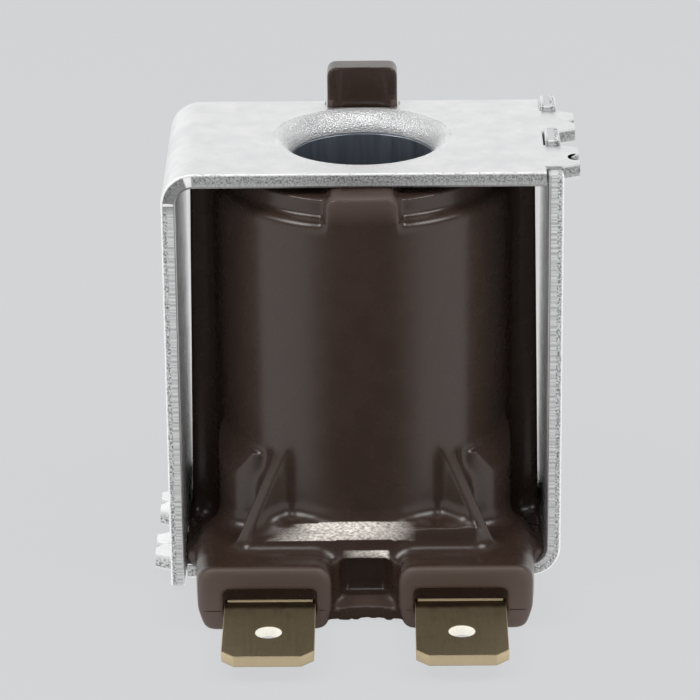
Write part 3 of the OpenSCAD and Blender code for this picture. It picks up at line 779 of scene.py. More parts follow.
@dataclass
class BracketPair:
    """The two equal stamped brackets that make the frame, each with a rolled collar and staked tabs.

    Lengths are in millimetres. The upper bracket is modelled, and the lower one is a copy turned half round.
    """

    half_h: float = 15.1
    half_w: float = 13.78
    half_d: float = 8.0
    sheet: float = 1.06
    bend_out: float = 2.2
    bend_steps: int = 14
    tooth_z: float = -15.75
    back_tooth_z: float = -15.45
    slot_z: float = -14.05
    tab_mid: tuple[float, float] = (-4.5, 3.05)
    tab_w: float = 4.6
    tab_end_w: float = 3.4
    tab_start: float = 12.6
    taper_start: float = 13.7
    tab_end: float = 14.95
    split_w: float = 1.1
    split_d: float = 0.55
    dent: Point = (0.75, 0.9, 0.5)
    dent_at: Point = (14.7, -0.3, 15.43)
    notch_w: float = 5.2
    notch_d: float = 1.55
    notch_r: float = 0.7
    hole_r: float = 6.35
    bore_r: float = 5.0
    collar_z: float = 13.6
    edge_r: float = 0.09
    roll_r: float = 0.2
    tab_r: float = 0.34
    tooth_r: float = 0.22
    short_tooth: float = 0.2
    left_plate_x: float = -12.0
    round_steps: int = 128

    def strip(self) -> Solid:
        """Draws the bent sheet's edge, with both arcs of the bend, and extrudes it across the depth.

        Returns:
            The bent strip, with its inner front edge rolled over.
        """
        bend_x, bend_z = self.bend_out - self.half_w, self.half_h - self.bend_out
        inner = self.bend_out - self.sheet
        turns = quarter(self.bend_steps)
        edge = [(-self.half_w, self.tooth_z)]
        edge += [(bend_x - self.bend_out * math.cos(a), bend_z + self.bend_out * math.sin(a)) for a in turns]
        edge += [(self.tab_end, self.half_h), (self.tab_end, self.half_h - self.sheet)]
        edge += [(bend_x - inner * math.cos(a), bend_z + inner * math.sin(a)) for a in reversed(turns)]
        edge += [(self.sheet - self.half_w, self.tooth_z)]
        piece = Bench.prism("upper_bracket", [(x, -self.half_d, z) for x, z in edge], (0.0, 2 * self.half_d, 0.0))

        def rolled(middle: Vector, along: Vector) -> bool:
            """Tells whether an edge lies where the blanking die rolled the inner side of the front edge over."""
            if middle.y > 0.01 - self.half_d or middle.x > self.tab_end - 0.01:
                return False
            if middle.x < bend_x and middle.z > bend_z:
                return math.hypot(middle.x - bend_x, middle.z - bend_z) < inner + 0.02
            return (middle.x > self.sheet - self.half_w - 0.02
                    and self.tooth_z + 0.01 < middle.z < self.half_h - self.sheet + 0.02)

        return Bench.round_edges(piece, self.roll_r, 4, rolled)

    def blanked(self, piece: Solid) -> Solid:
        """Cuts the tab slots, the spaces between the tabs, the tabs' tapers and splits, and the rear notch.

        Args:
            piece: the bent strip.

        Returns:
            The same piece.
        """
        far, low, high = self.half_d + 1, self.half_h - self.sheet - 0.5, self.half_h + 0.5
        Bench.combine(piece, Bench.block("teeth", (-self.half_w - 1, self.tab_mid[0], self.tooth_z - 1),
                                         (-self.half_w + self.sheet + 0.3, far, self.back_tooth_z)), Merge.CUT)
        edges = [-far]
        for middle in self.tab_mid:
            slot = self.tab_w / 2 + 0.05
            Bench.combine(piece, Bench.block("slot", (-self.half_w - 1, middle - slot, self.tooth_z - 1),
                                             (-self.half_w + self.sheet + 0.3, middle + slot, self.slot_z)), Merge.CUT)
            edges += [middle - self.tab_w / 2, middle + self.tab_w / 2]
        edges.append(far)
        for near, next_near in zip(edges[0::2], edges[1::2]):
            Bench.combine(piece, Bench.block("space", (self.tab_start, near, low), (self.tab_end + 1, next_near, high)),
                          Merge.CUT)
        reach = self.tab_end + 0.3
        slope = (self.tab_w - self.tab_end_w) / 2 / (self.tab_end - self.taper_start)
        for middle in self.tab_mid:
            for side in (-1, 1):
                wide = middle + side * self.tab_w / 2
                thin = wide - side * slope * (reach - self.taper_start)
                out = wide + side * 0.3
                Bench.combine(piece, Bench.prism("taper", [(self.taper_start, wide, low), (self.taper_start, out, low),
                                                           (reach, out, low), (reach, thin, low)],
                                                 (0.0, 0.0, high - low)), Merge.CUT)
            half = self.split_w / 2 * (self.split_d + 0.3) / self.split_d
            Bench.combine(piece, Bench.prism("split", [(self.tab_end - self.split_d, middle, low),
                                                       (reach, middle - half, low), (reach, middle + half, low)],
                                             (0.0, 0.0, high - low)), Merge.CUT)
        notch = Bench.block("notch", (-self.notch_w / 2, self.half_d - self.notch_d, low),
                            (self.notch_w / 2, far, high))
        Bench.round_edges(notch, self.notch_r, 6,
                          lambda middle, along: abs(along.z) > STRAIGHT and middle.y < self.half_d - 1)
        return Bench.combine(piece, notch, Merge.CUT)

    def softened(self, piece: Solid) -> Solid:
        """Rounds the tab ends and the teeth, breaks all the other edges and dents the tabs as the staking punch does.

        Args:
            piece: the blanked bracket.

        Returns:
            The same piece.
        """
        Bench.round_edges(piece, self.tab_r, 4, lambda middle, along: middle.x > self.taper_start + 0.25)
        Bench.round_edges(piece, self.tooth_r, 3,
                          lambda middle, along: middle.x < self.left_plate_x and middle.z < self.back_tooth_z + 0.1)
        mesh = bmesh.new()
        mesh.from_mesh(piece.data)
        weight = mesh.edges.layers.float.new("bevel_weight_edge")
        for edge in mesh.edges:
            middle = (edge.verts[0].co + edge.verts[1].co) / 2
            on_tooth = middle.x < self.left_plate_x and middle.z < self.back_tooth_z + 0.3
            rounded = on_tooth or middle.x > self.taper_start + 0.1
            edge[weight] = float(edge.calc_face_angle(0.0) > SHARP and not rounded)
        mesh.to_mesh(piece.data)
        mesh.free()
        Bench.finish_with(piece, "BEVEL", width=self.edge_r, segments=3, limit_method="WEIGHT", use_clamp_overlap=True)
        for middle in self.tab_mid:
            bpy.ops.object.select_all(action="DESELECT")
            bpy.ops.mesh.primitive_uv_sphere_add(segments=32, ring_count=16, radius=1.0)
            dent = bpy.context.active_object
            dent.scale = self.dent
            x, y, z = self.dent_at
            Bench.combine(piece, Bench.settle(dent, (x, middle + y, z)), Merge.CUT)
        return piece

    def collared(self, piece: Solid) -> Solid:
        """Opens the hole and fits the rolled collar that the sheet is drawn into.

        Args:
            piece: the bracket with its edges broken.

        Returns:
            The same piece.
        """
        drop, out = 0.004, self.hole_r + 0.25
        top, under = self.half_h - drop, self.half_h - self.sheet - drop
        big, small = self.hole_r - self.bore_r, self.hole_r - self.bore_r - self.sheet
        hole = Bench.revolve("hole", [(0.0, under - 1), (self.hole_r - 0.1, under - 1), (self.hole_r - 0.1, top + 1),
                                      (0.0, top + 1)], self.round_steps)
        Bench.combine(piece, hole, Merge.CUT)
        turns = quarter(8)
        profile = [(out, top - 0.06)]
        profile += [(self.hole_r - big * math.sin(a), top - big + big * math.cos(a)) for a in turns]
        profile += [(self.bore_r, self.collar_z + 0.12), (self.bore_r + 0.1, self.collar_z),
                    (self.bore_r + self.sheet - 0.1, self.collar_z), (self.bore_r + self.sheet, self.collar_z + 0.12)]
        profile += [(self.hole_r - small * math.sin(a), under - small + small * math.cos(a)) for a in reversed(turns)]
        profile += [(out, under + 0.06)]
        return Bench.combine(piece, Bench.revolve("collar", profile, self.round_steps), Merge.FUSE)

    def mark_sheet(self, piece: Solid, ironed: float) -> None:
        """Stores each point's depth in the sheet and its run along the strip, which the sheared edges are drawn by, and
        how strongly the painted shade and highlights on the bend's edge show.

        Args:
            piece: a bracket in the upper one's place, in millimetres.
            ironed: how strongly the painted shade and highlights on the bend's edge show, from 0 to 1.
        """
        bend_x, bend_z = self.bend_out - self.half_w, self.half_h - self.bend_out
        for turn in quarter(self.bend_steps):
            Bench.score(piece, (bend_x, 0.0, bend_z), (math.sin(turn), 0.0, math.cos(turn)))
        depths, runs = [], []
        for vertex in piece.data.vertices:
            x, y, z = vertex.co
            if math.hypot(x, y) < self.hole_r + 0.3:
                depths.append(0.0)
                runs.append(0.0)
            elif x > bend_x:
                depths.append((self.half_h - z) / self.sheet)
                runs.append(x - bend_x + self.bend_out * math.pi / 2)
            elif z < bend_z:
                depths.append((x + self.half_w) / self.sheet)
                runs.append(z - bend_z)
            else:
                depths.append((self.bend_out - math.hypot(x - bend_x, z - bend_z)) / self.sheet)
                runs.append(self.bend_out * math.atan2(z - bend_z, bend_x - x))
        Bench.mark(piece, Pick.VERT, sheet_depth=depths, sheet_run=runs, ironed=[ironed] * len(runs))

    def build(self, finish: Material) -> None:
        """Models one bracket, copies it for the other and puts both in place.

        Args:
            finish: the plated steel.
        """
        upper = self.blanked(self.strip())
        lower = Bench.copied(upper, "lower_bracket")
        Bench.combine(lower, Bench.block("short", (-self.half_w - 1, -self.half_d - 1, self.tooth_z - 1),
                                         (-self.half_w + self.sheet + 0.3, self.tab_mid[0] - self.tab_w / 2,
                                          -self.half_h + self.short_tooth)), Merge.CUT)
        # Only the upper bracket gets the painted shade and highlights on its bend's edge.
        for piece, ironed in ((upper, 1.0), (lower, 0.0)):
            self.softened(piece)
            self.collared(piece)
            self.mark_sheet(piece, ironed)
        Bench.turned(lower, math.pi, "Y")
        Bench.deliver(upper, finish, "zinc_steel", ["upper_yoke"])
        Bench.deliver(lower, finish, "zinc_steel", ["lower_yoke"])


@dataclass
class MouldedBody:
    """The resin moulding round the coil: barrel, neck, lug, square rear body, peg and the terminal block.

    Lengths are in millimetres, and angles in degrees from the front.
    """

    barrel_r: float = 10.49
    foot_z: float = -14.03
    shoulder_z: float = 12.3
    shoulder_r: float = 0.8
    neck_r: float = 9.4
    neck_z: float = 13.6
    lug_half: float = 2.5
    lug_back: float = -6.5
    lug_z: float = 14.03
    lug_r: tuple[float, float] = (0.7, 0.5)
    rear_half: tuple[float, float] = (12.49, 12.07)
    rear_y: tuple[float, float] = (-1.0, 8.0)
    rear_r: float = 1.15
    heel_half: float = 12.67
    heel_z: float = -13.0
    foot_y: float = -7.9
    foot_r: float = 0.9
    peg_y: tuple[float, float] = (6.75, 8.8)
    half_top: float = 15.1
    peg_half: float = 2.5
    peg_z: float = 17.9
    peg_r: tuple[float, float, float] = (0.6, 0.5, 0.12)
    peg_base: tuple[float, float] = (0.12, 15.5)
    block_half: float = 11.8
    shroud_out: float = 11.68
    parting_z: float = -14.6
    parting_d: float = 0.07
    block_top: float = -11.4
    block_y: tuple[float, float] = (-12.0, -5.7)
    base_z: float = -16.1
    plate_y: float = -8.15
    shroud_in: float = 2.25
    shroud_front: float = -14.6
    top_r: float = 1.15
    low_r: float = 1.2
    face_r: float = 0.6
    face_top_r: float = 0.25
    lip_front: float = -13.5
    lip_top: float = -14.6
    lip_fall: float = 0.5
    lip_hollow: float = 0.3
    lip_base: float = -15.88
    recess_half: tuple[float, float] = (2.2, 1.3)
    recess_y: float = -11.2
    recess_top: float = -11.95
    step_half: float = 8.0
    step_front: float = -11.6
    step_back: float = -7.0
    step_top: float = -9.75
    step_chamfer: float = 0.75
    chamfer_end: tuple[float, float] = (2.2, 4.4)
    fillet_r: float = 1.5
    gusset_at: float = 33.2
    gusset_skew: float = 16.5
    gusset_t: float = 1.1
    gusset_out: float = 4.1
    gusset_top: float = -4.6
    pillar_at: float = 57.0
    pillar_r: float = 3.5
    pillar_out: float = 11.7
    pillar_top: float = -5.8
    pillar_drop: float = 1.4
    ledge: float = 0.4
    ledge_rise: float = 0.17
    leaf_lean: float = 64.0
    blade_x: float = 6.6
    pocket_half: float = 3.27
    pocket_z: tuple[float, float] = (-15.02, -13.0)
    pocket_d: float = 0.63
    coil_r: float = 9.1
    coil_z: tuple[float, float] = (-10.9, 11.5)
    core_r: float = 7.0
    voxel: float = 0.15
    flow_r: float = 0.9
    fine_voxel: float = 0.1
    corner_r: float = 0.25
    smoothing: int = 3
    triangles: int = 180000
    crumbs: int = 9
    crumb_half: float = 0.22
    gate_half: float = 1.7
    # Along x, where the painted highlight on the step's and the bridge's strips starts, is full, fades and ends.
    strip_highlight_x: tuple[float, float, float, float] = (-5.1, -3.8, 0.4, 3.6)
    bridge_highlight_x: tuple[float, float, float, float] = (-1.6, -0.8, 1.5, 1.75)
    # How far the lug's front and the lip's top take the dull, lighter colour that is painted light.
    lug_matt_and_lit: float = 0.6
    lip_matt_and_lit: float = 0.5
    round_steps: int = 160

    def barrel(self) -> Solid:
        """Extrudes and scales a disc up through the barrel and its rounded shoulder.

        Returns:
            The barrel.
        """
        piece = Bench.disc("moulded_body", self.barrel_r, self.round_steps, (0.0, 0.0, self.foot_z))
        low, r = self.shoulder_z - self.shoulder_r, self.shoulder_r
        rings = [(self.barrel_r, low)]
        rings += [(self.barrel_r - r * (1 - math.cos(a)), low + r * math.sin(a)) for a in quarter(6)[1:]]
        radius, height = self.barrel_r, self.foot_z
        for next_radius, next_height in rings:
            bpy.ops.mesh.extrude_region_move(TRANSFORM_OT_translate={"value": (0.0, 0.0, next_height - height)})
            bpy.ops.transform.resize(value=(next_radius / radius, next_radius / radius, 1.0))
            radius, height = next_radius, next_height
        return Bench.close(piece)

    def neck(self) -> Solid:
        """Spins the neck that stands on the shoulder, with a crisp upper edge."""
        low = self.shoulder_z - 1
        return Bench.revolve("neck", [(0.0, low), (self.neck_r, low), (self.neck_r, self.neck_z - 0.06),
                                      (self.neck_r - 0.06, self.neck_z), (0.0, self.neck_z)], self.round_steps)

    def lug(self) -> Solid:
        """Rounds a box over the top and trims its front to the barrel's surface.

        Returns:
            The lug.
        """
        side_r, front_r = self.lug_r
        piece = Bench.block("lug", (-self.lug_half, -self.barrel_r - 0.5, self.shoulder_z - 2),
                            (self.lug_half, self.lug_back, self.lug_z))
        Bench.round_edges(piece, side_r, 5,
                          lambda middle, along: abs(along.y) > STRAIGHT and middle.z > self.lug_z - 0.1)
        Bench.combine(piece, Bench.revolve("skin", [(0.0, 0.0), (self.barrel_r, 0.0), (self.barrel_r, 20.0),
                                                    (0.0, 20.0)], self.round_steps), Merge.KEEP)
        return Bench.round_edges(piece, front_r, 5,
                                 lambda middle, along: abs(middle.xy.length - self.barrel_r) < 0.05
                                 and middle.z > self.lug_z - 0.75 and abs(along.z) < 0.97)

    def rear(self) -> list[Solid]:
        """Makes the square rear body, drawn in towards its top, and its heel and foot on the lower plate.

        Returns:
            The body, the heel at the side without a bend below, and the foot in the bend.
        """
        low, high = self.rear_half
        near, far = self.rear_y
        body = Bench.prism("rear", [(-low, near, self.foot_z), (low, near, self.foot_z), (high, near, self.neck_z),
                                    (-high, near, self.neck_z)], (0.0, far - near, 0.0))
        Bench.round_edges(body, self.rear_r, 6,
                          lambda middle, along: abs(along.y) > STRAIGHT and (middle.x > 0 or middle.z > 0))
        heel = Bench.block("heel", (-self.heel_half, self.foot_y, self.foot_z), (-low + 0.5, far, self.heel_z))
        foot = Bench.block("foot", (low - 0.6, self.foot_y, self.foot_z), (self.heel_half, near + 0.5, self.heel_z))
        Bench.round_edges(foot, self.foot_r, 6, lambda middle, along: abs(along.y) > STRAIGHT and middle.x > low
                          and middle.z < self.heel_z - 0.5)
        return [body, heel, foot]

    def peg(self) -> list[Solid]:
        """Makes the locating peg on the rear body, with round corners and a slightly thicker base.

        Returns:
            The peg and its base.
        """
        near, far = self.peg_y
        peg = Bench.block("peg", (-self.peg_half, near, self.neck_z - 3), (self.peg_half, far, self.peg_z))
        side_r, upright_r, front_r = self.peg_r
        Bench.round_edges(peg, side_r, 5, lambda middle, along: abs(along.y) > STRAIGHT and middle.z > self.peg_z - 0.1)
        Bench.round_edges(peg, upright_r, 5, lambda middle, along: abs(along.z) > STRAIGHT)
        Bench.round_edges(peg, front_r, 3, lambda middle, along: middle.z > self.peg_z - 0.01
                          and middle.y < near + 0.6 and abs(along.x) > STRAIGHT)
        out, top = self.peg_base
        base = Bench.block("base", (-self.peg_half, near - out, self.neck_z - 3), (self.peg_half, near + 0.5, top))
        return [peg, base]

    def block(self) -> list[Solid]:
        """Makes the terminal block.

        Returns:
            The body over the lower plate and the two shrouds.
        """
        body = Bench.block("body", (-self.block_half, self.block_y[0], self.base_z),
                           (self.block_half, self.block_y[1], self.block_top))
        Bench.round_edges(body, self.top_r, 6, lambda middle, along: abs(along.y) > STRAIGHT and middle.z > -13)
        Bench.round_edges(body, self.low_r, 6, lambda middle, along: abs(along.y) > STRAIGHT and middle.z < -15)
        return [body, self.shroud(-1), self.shroud(1)]

    def shroud(self, side: int) -> Solid:
        """Draws a shroud's outline, drafted under the parting line, and brings its front out in steps that shrink.

        Args:
            side: -1 for the left one, 1 for the right one.

        Returns:
            The shroud.
        """
        inner, outer, top, base, r = self.shroud_in, self.shroud_out, self.block_top, self.base_z, self.top_r
        turns = quarter(6)
        shape = [(inner + r - r * math.cos(a), top - r + r * math.sin(a)) for a in turns]
        shape += [(outer - r + r * math.sin(a), top - r + r * math.cos(a)) for a in turns]
        shape += [(outer - 0.03, self.parting_z), (outer - 0.36, base + 0.42), (outer - 0.52, base + 0.14),
                  (outer - 0.82, base), (inner + 0.76, base), (inner + 0.46, base + 0.14), (inner + 0.3, base + 0.42),
                  (inner + 0.03, self.parting_z)]
        start = self.shroud_front + self.face_r
        piece = Bench.prism("shroud", [(side * x, start, z) for x, z in shape],
                            (0.0, self.block_y[0] + 0.6 - start, 0.0))
        Bench.select(piece, Pick.FACE, lambda middle, normal: normal.y < -0.9)
        wide, tall, ahead, sunk = outer - inner, top - base, 0.0, 0.0
        for turn in quarter(5)[1:]:
            drawn = 1 - math.cos(turn)
            low = self.face_top_r * drawn / 2
            bpy.ops.mesh.extrude_region_move(TRANSFORM_OT_translate={
                "value": (0.0, ahead - self.face_r * math.sin(turn), sunk - low)})
            ahead, sunk = self.face_r * math.sin(turn), low
            now = (outer - inner - 2 * self.face_r * drawn, top - base - self.face_top_r * drawn)
            bpy.ops.transform.resize(value=(now[0] / wide, 1.0, now[1] / tall))
            wide, tall = now
        return Bench.close(piece)

    def parting(self, side: int) -> Solid:
        """Makes the thin frame that cuts the tool's parting line round a shroud.

        Args:
            side: -1 for the left one, 1 for the right one.

        Returns:
            The frame.
        """
        low, high = self.parting_z - 0.045, self.parting_z + 0.045
        inner, outer = sorted((side * (self.shroud_in - 0.03), side * (self.shroud_out + 0.5)))
        frame_piece = Bench.block("parting", (inner, self.shroud_front - 0.5, low),
                                  (outer, self.block_y[0] - 0.3, high))
        d = self.parting_d
        inner, outer = sorted((side * (self.shroud_in + d), side * (self.shroud_out - 0.03 - d)))
        return Bench.combine(frame_piece, Bench.block("inside", (inner, self.shroud_front + d, low - 1),
                                                      (outer, 0.0, high + 1)), Merge.CUT)

    def hollows(self) -> Solid:
        """Joins what is cut out of the flowed body: plate room, recess and the two blade pockets.

        Returns:
            The tool that cuts them.
        """
        front, back = self.recess_half
        recess = Bench.prism("recess", [(-front, self.block_y[0] - 0.2, self.lip_top),
                                        (front, self.block_y[0] - 0.2, self.lip_top),
                                        (back + 0.25, self.recess_y - 0.25, self.lip_top),
                                        (back, self.recess_y, self.lip_top), (-back, self.recess_y, self.lip_top),
                                        (-back - 0.25, self.recess_y - 0.25, self.lip_top)],
                             (0.0, 0.0, self.recess_top - self.lip_top))
        cuts = [recess, Bench.block("room", (-20.0, self.plate_y, -20.0), (20.0, 0.0, self.foot_z))]
        for side in (-1, 1):
            cuts.append(Bench.block("pocket", (side * self.blade_x - self.pocket_half, self.shroud_front - 1,
                                               self.pocket_z[0]),
                                    (side * self.blade_x + self.pocket_half, self.shroud_front + self.pocket_d,
                                     self.pocket_z[1])))
        return Bench.joined("hollows", cuts)

    def lip(self) -> Solid:
        """Draws the sloping lip between the shrouds, with a hollow front edge.

        Returns:
            The lip.
        """
        wide = self.shroud_in + 0.4
        steps = 12
        plan: list[Point] = []
        for k in range(steps + 1):
            x = -wide + 2 * wide * k / steps
            hollow = self.lip_hollow * max(0.0, 1 - (x / self.shroud_in) ** 2)
            plan.append((x, self.lip_front + hollow, self.lip_base))
        plan += [(wide, self.block_y[0] + 0.5, self.lip_base), (-wide, self.block_y[0] + 0.5, self.lip_base)]
        piece = Bench.prism("lip", plan, (0.0, 0.0, self.lip_top - self.lip_base))
        reach = self.block_y[0] - self.lip_front
        normal = Vector((0.0, -self.lip_fall, reach)).normalized()
        return Bench.trim(piece, (0.0, self.block_y[0], self.lip_top), tuple(normal))

    def step(self) -> list[Solid]:
        """Makes the step between the gussets and the hollow fillet between its top and the barrel.

        Returns:
            The step and the fillet, both trimmed to the gussets.
        """
        foot = self.block_top - 1
        step = Bench.block("step", (-self.step_half, self.step_front, foot),
                           (self.step_half, self.step_back, self.step_top))
        wide, over = self.step_chamfer, 0.2
        low, high = self.chamfer_end
        chamfer = Bench.prism("chamfer", [(-self.step_half - 1, self.step_front - over, self.step_top - wide - over),
                                          (-self.step_half - 1, self.step_front + wide + over, self.step_top + over),
                                          (-self.step_half - 1, self.step_front - over, self.step_top + over)],
                              (low + self.step_half + 1, 0.0, 0.0))
        Bench.select(chamfer, Pick.FACE, lambda middle, normal: normal.x > 0.9)
        bpy.ops.mesh.extrude_region_move(TRANSFORM_OT_translate={"value": (high - low, -0.3, 0.3)})
        bpy.ops.transform.resize(value=(1.0, 0.1, 0.1))
        Bench.combine(step, Bench.close(chamfer), Merge.CUT)
        turns = quarter(8)
        far, top = self.barrel_r + self.fillet_r, self.step_top + self.fillet_r
        profile = [(self.barrel_r - 0.5, self.step_top - 0.1), (far, self.step_top - 0.1)]
        profile += [(far - self.fillet_r * math.sin(a), top - self.fillet_r * math.cos(a)) for a in turns]
        profile += [(self.barrel_r - 0.5, top)]
        fillet = Bench.revolve("fillet", profile, 48, math.radians(90), math.radians(225))
        edge = self.step_front + self.step_chamfer
        Bench.combine(fillet, Bench.block("keep", (-self.step_half, edge, -20.0), (self.step_half, 0.0, 20.0)),
                      Merge.KEEP)
        at, heading = math.radians(self.gusset_at), math.radians(self.gusset_at + self.gusset_skew)
        for piece in (step, fillet):
            for side in (-1, 1):
                Bench.trim(piece, (side * self.barrel_r * math.sin(at), -self.barrel_r * math.cos(at), 0.0),
                           (side * math.cos(heading), math.sin(heading), 0.0))
        return [step, fillet]

    def gusset(self, side: int) -> Solid:
        """Draws a sloping rib from the barrel down to the block, thinner along its ridge.

        Args:
            side: -1 for the left one, 1 for the right one.

        Returns:
            The rib.
        """
        foot, half = self.block_top - 1, self.gusset_t / 2
        rise = (self.gusset_top - self.block_top) / self.gusset_out
        outline = [(1.2, foot), (-self.gusset_out, foot), (-self.gusset_out, self.block_top),
                   (1.2, self.block_top + rise * (self.gusset_out + 1.2))]
        piece = Bench.prism("gusset", [(-half, y, z) for y, z in outline], (2 * half, 0.0, 0.0))
        Bench.turned(piece, math.radians(side * self.gusset_skew), "Z")
        Bench.settle(piece, (0.0, -self.barrel_r, 0.0))
        return Bench.turned(piece, math.radians(side * self.gusset_at), "Z")

    def pillar(self, side: int, drop: float) -> Solid:
        """Extrudes a rounded pillar beside the barrel and cuts its steep leaf and the narrow ledge over it.

        Args:
            side: -1 for the left one, 1 for the right one.
            drop: how far its top stays under its full height.

        Returns:
            The pillar.
        """
        piece = Bench.disc("pillar", self.pillar_r, 72, (0.0, self.pillar_r - self.pillar_out, self.block_top - 1))
        rise = self.pillar_top + 3 - self.block_top
        bpy.ops.mesh.extrude_region_move(TRANSFORM_OT_translate={"value": (0.0, 0.0, rise)})
        Bench.close(piece)
        slope = math.radians(self.leaf_lean)
        Bench.trim(piece, (0.0, -self.barrel_r - self.ledge, self.pillar_top - drop),
                   (0.0, -math.sin(slope), math.cos(slope)))
        Bench.turned(piece, math.radians(side * self.pillar_at), "Z")
        return Bench.trim(piece, (0.0, -self.barrel_r + 1.8, self.pillar_top - drop), (0.0, -self.ledge_rise, 1.0))

    def gate(self) -> list[Solid]:
        """Breaks a few ragged crumbs of the gate at the foot of the lip.

        Returns:
            The crumbs.
        """
        chance = random.Random(5)
        crumbs = []
        half = self.crumb_half
        for k in range(self.crumbs):
            x = self.gate_half * (2 * k / (self.crumbs - 1) - 1) + chance.uniform(-0.12, 0.12)
            high = chance.uniform(0.0, 0.2)
            front = self.lip_front + self.lip_hollow * (1 - (x / self.shroud_in) ** 2) + 0.04
            crumb = Bench.block("crumb", (x - half, front, self.lip_base - high),
                                (x + half, front + 0.7, self.lip_base + 0.2))
            crumbs.append(Bench.shift(crumb, (chance.uniform(-0.1, 0.1), chance.uniform(0.0, 0.2), 0.0),
                                      lambda place, normal: place.z < self.lip_base))
        return crumbs

    @staticmethod
    def flow(piece: Solid, radius: float, voxel: float, passes: int) -> None:
        """Fills the inner corners as flowing resin does: the solid is grown, shrunk and remeshed each time.

        Args:
            piece: the joined solids.
            radius: radius of the fillets.
            voxel: size of the remeshed faces.
            passes: how often the faces are evened out before each step.
        """
        Bench.finish_with(piece, "REMESH", mode="VOXEL", voxel_size=voxel)
        for way in (1.0, -1.0):
            Bench.finish_with(piece, "SMOOTH", factor=0.5, iterations=passes)
            Bench.finish_with(piece, "DISPLACE", strength=way * radius, mid_level=0.0, direction="NORMAL")
            Bench.finish_with(piece, "REMESH", mode="VOXEL", voxel_size=voxel)

    def build(self, finish: Material) -> None:
        """Joins the solids, lets the resin flow round their meeting edges and opens the room for the coil.

        Args:
            finish: the moulding resin.
        """
        flowed = [self.barrel(), *self.rear(), *self.block(), *self.step()]
        for side in (-1, 1):
            flowed += [self.gusset(side), self.pillar(side, self.pillar_drop)]
        piece = Bench.joined("moulded_body", flowed)
        self.flow(piece, self.flow_r, self.voxel, self.smoothing)
        Bench.combine(piece, self.hollows(), Merge.CUT)
        crisp = [self.neck(), self.lug(), *self.peg(), self.lip()]
        for side in (-1, 1):
            crisp += [self.gusset(side), self.pillar(side, 0.0)]
        piece = Bench.joined("moulded_body", [piece, *crisp])
        self.flow(piece, self.corner_r, self.fine_voxel, 1)
        piece = Bench.joined("moulded_body", [piece, *self.gate()])
        Bench.finish_with(piece, "REMESH", mode="VOXEL", voxel_size=self.fine_voxel)
        Bench.finish_with(piece, "SMOOTH", factor=0.5, iterations=self.smoothing)
        piece.data.calc_loop_triangles()
        share = self.triangles / len(piece.data.loop_triangles)
        if share < 1:
            Bench.finish_with(piece, "DECIMATE", ratio=share)
        for side in (-1, 1):
            Bench.combine(piece, self.parting(side), Merge.CUT)
        low, high = self.coil_z
        room = Bench.revolve("room", [(0.0, -20.0), (self.core_r, -20.0), (self.core_r, low), (self.coil_r, low),
                                      (self.coil_r, high), (self.core_r, high), (self.core_r, 20.0), (0.0, 20.0)], 96)
        Bench.combine(piece, room, Merge.CUT)
        self.mark_skin(piece)
        Bench.deliver(piece, finish, "brown_moulding", ["coil_overmould"], 50.0)

    def mark_skin(self, piece: Solid) -> None:
        """Marks the step and bridge left by spark erosion, with the fade of their painted highlight, and the dull faces
        of the shrouds, lug, lip and peg base, which are also painted lighter as painted light.

        Args:
            piece: the moulding, in millimetres.
        """
        eroded, matt = [], []
        for vertex in piece.data.vertices:
            x, y, z = vertex.co
            rough, dull = 0.0, 0.0
            facing = vertex.normal.z - vertex.normal.y
            on_step = abs(y - self.step_front - 0.35) < 0.55 and abs(z - self.step_top + 0.38) < 0.5
            on_bridge = abs(y - self.block_y[0]) < 0.2 and self.recess_top < z < self.block_top + 0.1
            # The strip's value also carries its painted highlight, which fades towards its ends.
            if on_step and facing > 1.15:
                start, full, fade, end = self.strip_highlight_x
                rough = ramp(x, start, full) * ramp(x, end, fade)
            elif on_bridge and facing > 0.8:
                start, full, fade, end = self.bridge_highlight_x
                rough = ramp(x, start, full) * ramp(x, end, fade) * (0.5 + 0.5 * ramp(x, 0.2, 1.0))
            on_lug = abs(x) < self.lug_half + 0.1 and z > self.shoulder_z + 0.1 and math.hypot(x, y) > self.neck_r + 0.1
            on_lip = abs(x) < self.shroud_in and self.lip_front < y < self.block_y[0] and vertex.normal.z > 0.6
            on_base = y > 6 and self.half_top < z < self.peg_base[1] + 0.05 and vertex.normal.y < -0.5
            # The dull faces are also painted lighter: painted light on the shroud fronts, lug front and lip top, a
            # painted reflection on the peg base.
            if y < self.shroud_front + 0.5:
                dull = ramp(y, self.shroud_front + 0.5, self.shroud_front + 0.2)
            elif on_lug and y < 0:
                dull = self.lug_matt_and_lit
            elif on_lip and z < self.lip_top + 0.1:
                dull = self.lip_matt_and_lit
            elif on_base:
                dull = 1.0
            eroded.append(rough)
            matt.append(dull)
        Bench.mark(piece, Pick.VERT, eroded=eroded, matt=matt)


